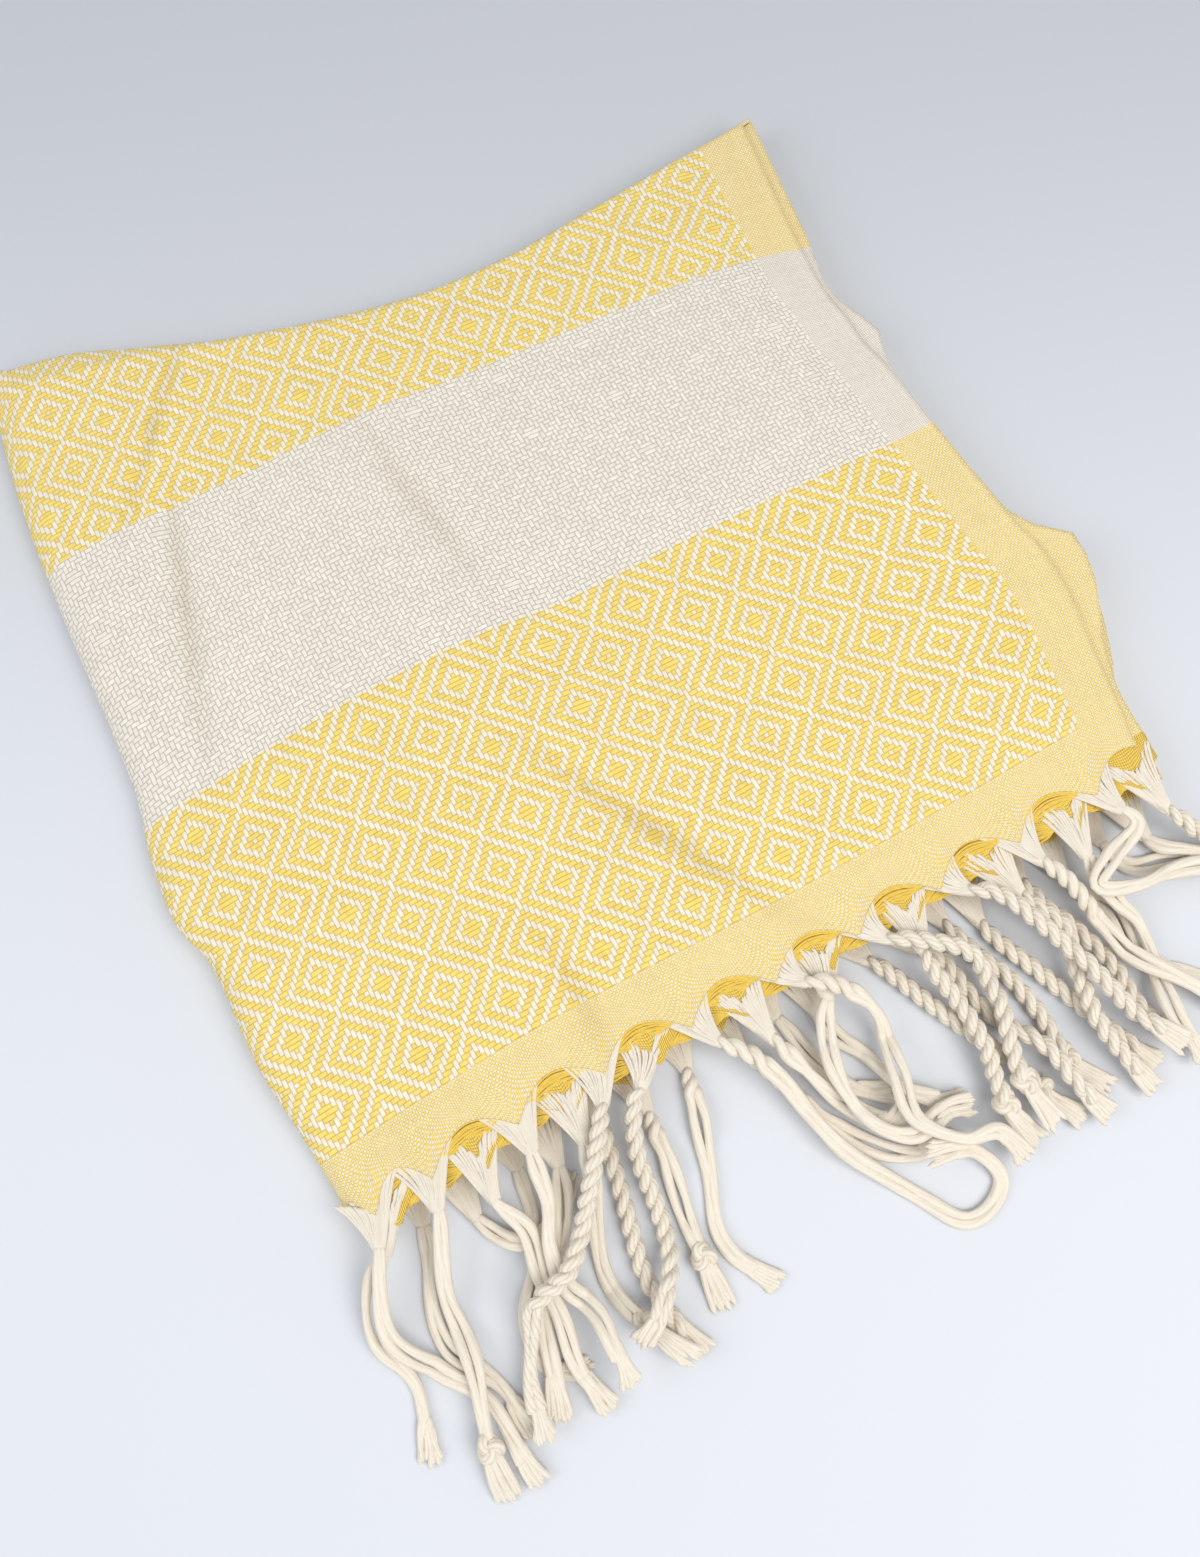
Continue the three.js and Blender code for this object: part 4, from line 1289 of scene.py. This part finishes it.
# Loose weft: the yarn's yellow, deepened with painted shade and bounced light of the notches.
NOTCH_SHADED_WEFT_YELLOW = (0.86, 0.62, 0.12, 1)
WEFT_SHADE = (0.56, 0.32, 0.04, 1)
WEFT_SOIL = (0.90, 0.80, 0.60, 1)
YARNS_IN_PLY = 5
PLY_TWIST = 14.0
SPOTS_PER_METRE = 420
HAIRS_PER_METRE = 2800
SLANT_WANDER = 0.14
GROOVE_HEIGHTS = (0.0, 0.5)
SOIL_PART = 0.4
RIDGE_ROUNDNESS = 0.6
RIDGE_RELIEF = 0.3
HAIR_RELIEF = 0.1
CORD_SHEEN = 0.15


def yarn_material(name, colour, shade, soil, depth):
    material = bpy.data.materials.new(name)
    material.use_nodes = True
    tree = material.node_tree
    shader = tree.nodes["Principled BSDF"]
    coordinates = tree.nodes.new("ShaderNodeTexCoord")
    parts = tree.nodes.new("ShaderNodeSeparateXYZ")
    tree.links.new(coordinates.outputs["UV"], parts.inputs[0])
    turn = Field(tree, parts.outputs["X"])
    along = Field(tree, parts.outputs["Y"]) / (PLY_TWIST * MM)
    uneven = noise(tree, coordinates.outputs["Object"], SPOTS_PER_METRE)
    hair = noise(tree, coordinates.outputs["Object"], HAIRS_PER_METRE)
    slant = turn + along + uneven * SLANT_WANDER
    ridge = (slant * (YARNS_IN_PLY * 2 * math.pi)).step("SINE") * 0.5 + 0.5
    groove = ridge.ramp(*GROOVE_HEIGHTS).turned() * depth
    base = mix_colours(tree, groove, colour, shade)
    soiled = mix_colours(tree, uneven * SOIL_PART, base, soil, "MULTIPLY")
    tree.links.new(soiled, shader.inputs["Base Color"])
    relief = ridge.step("POWER", RIDGE_ROUNDNESS) * (RIDGE_RELIEF * depth) + hair * HAIR_RELIEF
    finish_shader(tree, shader, relief, CORD_SHEEN)
    return material


TWISTED_COTTON = yarn_material("twisted_cotton", CORD_CREAM, CORD_SHADE, CORD_SOIL, 0.45)
LOOSE_COTTON = yarn_material("loose_cotton", CORD_CREAM, CORD_SHADE, CORD_SOIL, 0.2)
# The loose weft material carries painted notch shade in its colour.
NOTCH_SHADED_WEFT = yarn_material("notch_shaded_yellow_weft_yarn", NOTCH_SHADED_WEFT_YELLOW, WEFT_SHADE, WEFT_SOIL, 0.3)
COTTON = [TWISTED_COTTON, LOOSE_COTTON]
print("Yarn materials ready")

# %% [markdown]
# A tassel is made in four steps, as it was by hand. A fan of warp yarns comes out of
# the tongue and draws together into a neck. Two plies are twisted round each other,
# and where the twist is lost they lie side by side as flat strands. Some cords are
# tied in an overhand knot. At the tip the yarns open into a brush.

# %% Parts of a tassel
NECK = 9.0
NECK_LAP = 1.5
NECK_HALF_WIDTH = 1.4
NECK_HALF_HEIGHT = 0.9
NECK_PULLS = (0.6, 1.1)
FAN_YARNS = 22
FAN_YARN_RADIUS = 0.52
FAN_HALF_SPAN = 10
FAN_JITTER = (0.2, 0.8)
FAN_INSETS = {OUTER_LAYER: 0.5, SECOND_LAYER: 5.0}
FAN_INSET_SPREAD = (0.6, 1.2)
FAN_RISE = 0.7
FAN_SPLAY = 6
FAN_PULLS = (0.5, 0.8)
FAN_STEPS = 9
PLY_RADIUS = 1.42
HELIX_RADIUS = 1.18
TWIST_LENGTH = 9.0
TWIST_SPREAD = (0.94, 1.08)
PLY_STEP = 0.85
PLY_OPENING = 6
CLOSED_PLIES = 0.6
THIN_PLIES = 0.8
STRAND_SPACING = 2.0
STRAND_RADIUS = 1.3
STRAND_FLATNESS = 0.82
STRAND_SWAY = 0.7
STRAND_RISE = 0.3
STRAND_WAVES = (5, 9)
STRAND_SWELL = 0.12
STRAND_SWELLS = (2.5, 4.5)
KNOT_SCALE = 0.88
KNOT_THICKNESS = 1.1
KNOT_TUBE = 1.45
KNOT_STEPS = 44
BRUSH_LENGTH = 13
BRUSH_LAP = 0.6
BRUSH_YARNS = 8
BRUSH_YARN_RADIUS = 0.95
BRUSH_SPREAD = 2.9
BRUSH_ROOT = 1.1
BRUSH_FLARE = 1.4
BRUSH_REACHES = (0.82, 1.0)
BRUSH_SWAY = 0.9
BRUSH_LIFT = 1.2
BRUSH_SINK = 0.5
BRUSH_TAPER = 0.2
BRUSH_BLUNT_END = 1.15
BRUSH_FLATNESS = 0.9
BRUSH_STEPS = 9


def route_at(route, travelled):
    i = 1
    while i < len(route) - 1 and route[i]["travelled"] < travelled:
        i += 1
    before = route[i - 1]
    after = route[i]
    part = (travelled - before["travelled"]) / (after["travelled"] - before["travelled"])
    plan = before["point"].lerp(after["point"], part)
    return Vector((plan.x, plan.y, mix(before["z"], after["z"], part)))


def cord_frame(cord, travelled):
    """The middle of a cord and its forward, side and upward directions."""
    route = cord["route"]
    centre = route_at(route, travelled)
    ahead = route_at(route, min(travelled + 1, cord["length"]))
    behind = route_at(route, max(travelled - 1, 0))
    forward = (ahead - behind).normalized()
    side = Vector((-forward.y, forward.x, 0)).normalized()
    return centre, forward, side, forward.cross(side)


def add_fan(mesh, cord, dice):
    root = cord["row"]["root"]
    neck, forward, side, up = cord_frame(cord, NECK + NECK_LAP)
    for k in range(FAN_YARNS):
        part = (k + dice.uniform(*FAN_JITTER)) / FAN_YARNS * 2 - 1
        start = end_place(root + part * FAN_HALF_SPAN, cord["edge"])
        start.y += FAN_INSETS[cord["edge"]["layer"]] * dice.uniform(*FAN_INSET_SPREAD)
        if cord["edge"] is INNER_TOP:
            start.z += FAN_RISE
        out = Vector((-part * FAN_SPLAY, -1, 0.1)).normalized() * NECK * dice.uniform(*FAN_PULLS)
        angle = math.pi * (0.5 + 0.5 * part)
        across = side * math.cos(angle) * NECK_HALF_WIDTH
        end = neck - across + up * (math.sin(angle) - 0.5) * NECK_HALF_HEIGHT
        pull = forward * NECK * dice.uniform(*NECK_PULLS)
        centres = curve_between(start, out, end, pull, FAN_STEPS)
        add_tube(mesh, centres, [FAN_YARN_RADIUS] * len(centres), YARN_SIDES, 1, LOOSE)


def add_strands(mesh, cord, dice):
    row = cord["row"]
    end = cord["length"] - (KNOT_FROM_END if row["knot"] else BRUSH_LENGTH * BRUSH_LAP)
    twisted = max(0, min(row["twist"], end) - NECK)
    pitch = TWIST_LENGTH * dice.uniform(*TWIST_SPREAD)
    half_turns = round(twisted / pitch * 2)
    steps = round((end - NECK) / PLY_STEP)
    loose = row["twist"] < end / 2
    flatness = STRAND_FLATNESS if loose else 1
    for ply in (0, 1):
        phase = dice.uniform(0, 6)
        wave = dice.uniform(*STRAND_WAVES)
        swell = dice.uniform(*STRAND_SWELLS)
        centres = []
        radii = []
        for i in range(steps + 1):
            travelled = mix(NECK, end, i / steps)
            centre, forward, side, up = cord_frame(cord, travelled)
            opened = smooth_between(0, PLY_OPENING, travelled - NECK)
            turned = min(1, (travelled - NECK) / twisted) if twisted else 1
            angle = math.pi * (half_turns * turned + ply)
            settled = smooth_between(row["twist"], row["twist"] + GATHER_LENGTH, travelled)
            sway = STRAND_SWAY * math.sin(travelled / wave + phase)
            rise = STRAND_SWAY * STRAND_RISE * math.sin(travelled / wave * 1.3 + phase)
            beside = math.cos(angle) * STRAND_SPACING / 2 + sway
            aside = mix(math.cos(angle) * HELIX_RADIUS, beside, settled)
            above = mix(math.sin(angle) * HELIX_RADIUS, rise, settled)
            swollen = 1 + STRAND_SWELL * settled * math.sin(travelled / swell + phase)
            thickness = mix(PLY_RADIUS, STRAND_RADIUS, settled)
            radius = thickness * swollen * mix(THIN_PLIES, 1, opened)
            place = centre + (side * aside + up * above) * mix(CLOSED_PLIES, 1, opened)
            place.z = max(place.z, radius * flatness)
            centres.append(place)
            radii.append(radius)
        add_tube(mesh, centres, radii, PLY_SIDES, flatness, LOOSE if loose else TWISTED)


def add_knot(mesh, cord, dice):
    """An overhand knot: the plain trefoil curve, turned by chance about the upright."""
    centre, forward, side, up = cord_frame(cord, cord["length"] - KNOT_FROM_END)
    turn = dice.uniform(0, 2 * math.pi)
    first = forward * math.cos(turn) + side * math.sin(turn)
    second = side * math.cos(turn) - forward * math.sin(turn)
    centres = []
    for i in range(KNOT_STEPS + 1):
        t = 2 * math.pi * i / KNOT_STEPS
        x = (math.sin(t) + 2 * math.sin(2 * t)) * KNOT_SCALE
        y = (math.cos(t) - 2 * math.cos(2 * t)) * KNOT_SCALE
        z = -math.sin(3 * t) * KNOT_SCALE * KNOT_THICKNESS
        centres.append(centre + first * x + second * y + up * z)
    add_tube(mesh, centres, [KNOT_TUBE] * len(centres), PLY_SIDES)


def add_brush(mesh, cord, dice):
    length = cord["length"]
    start = length - (KNOT_FROM_END if cord["row"]["knot"] else BRUSH_LENGTH)
    for k in range(BRUSH_YARNS):
        part = k / (BRUSH_YARNS - 1) * 2 - 1
        reach = dice.uniform(*BRUSH_REACHES)
        sway = dice.uniform(-BRUSH_SWAY, BRUSH_SWAY)
        lift = dice.uniform(0, BRUSH_LIFT)
        centres = []
        radii = []
        for i in range(BRUSH_STEPS + 1):
            t = i / BRUSH_STEPS
            centre, forward, side, up = cord_frame(cord, mix(start, length, t * reach))
            aside = part * mix(BRUSH_ROOT, BRUSH_SPREAD, t**BRUSH_FLARE) + sway * math.sin(math.pi * t)
            centre = centre + side * aside
            centre.z = max(BRUSH_YARN_RADIUS, centre.z + lift * (1 - t) - BRUSH_SINK)
            centres.append(centre)
            blunt = BRUSH_BLUNT_END if i == BRUSH_STEPS - 1 else 1
            radii.append(BRUSH_YARN_RADIUS * (1 - BRUSH_TAPER * t) * blunt)
        add_tube(mesh, centres, radii, YARN_SIDES + 1, BRUSH_FLATNESS, LOOSE)


def make_fringe(name, cords, node, seed):
    dice = random.Random(seed)
    mesh = bmesh.new()
    for cord in cords:
        add_fan(mesh, cord, dice)
        add_strands(mesh, cord, dice)
        if cord["row"]["knot"]:
            add_knot(mesh, cord, dice)
        add_brush(mesh, cord, dice)
    return finish_piece(mesh, name, COTTON, node)


outer_fringe = make_fringe("outer_fringe_cords", OUTER_CORDS, "outer_end_fringe", 11)
inner_fringe = make_fringe("inner_fringe_cords", INNER_CORDS, "inner_end_fringe", 23)
print("Fringe faces:", len(outer_fringe.data.polygons), len(inner_fringe.data.polygons))

# %% [markdown]
# In each notch the last few picks of yellow weft have lost their warp yarns to the
# tassels on both sides. They hang there as loose arcs, one below the other. Their
# deep gold is partly the yarn's own yellow and partly painted shade and bounced
# light of the notch.

# %% Loose weft in the notches
WEFT_ARCS = 8
WEFT_RADIUS = 0.4
WEFT_STEP = 0.7
WEFT_HALF_SPAN = 0.36
WEFT_NARROWING = 0.02
WEFT_SAG = 0.25
WEFT_OUT = 0.2
WEFT_FALL = 0.12
WEFT_POINTS = 12


def add_notch_weft(mesh, left, right, edge, dice):
    for k in range(WEFT_ARCS):
        half = (right - left) * (WEFT_HALF_SPAN - WEFT_NARROWING * k)
        sag = dice.uniform(-WEFT_SAG, WEFT_SAG)
        centres = []
        for i in range(WEFT_POINTS + 1):
            part = i / WEFT_POINTS * 2 - 1
            place = end_place((left + right) / 2 + part * half, edge)
            place.y -= WEFT_OUT + (WEFT_STEP * k + sag) * (1 - 0.5 * part * part)
            place.z -= WEFT_FALL * k * (1 - part * part)
            centres.append(place)
        add_tube(mesh, centres, [WEFT_RADIUS] * len(centres), YARN_SIDES)


def make_loose_weft():
    dice = random.Random(7)
    mesh = bmesh.new()
    for edge in (OUTER_TOP, INNER_TOP):
        roots = [row["root"] for row in edge["tassels"]]
        for left, right in zip(roots, roots[1:]):
            add_notch_weft(mesh, left, right, edge, dice)
    return finish_piece(mesh, "loose_weft", [NOTCH_SHADED_WEFT], "towel_cloth")


loose_weft = make_loose_weft()
print("Loose weft faces:", len(loose_weft.data.polygons))
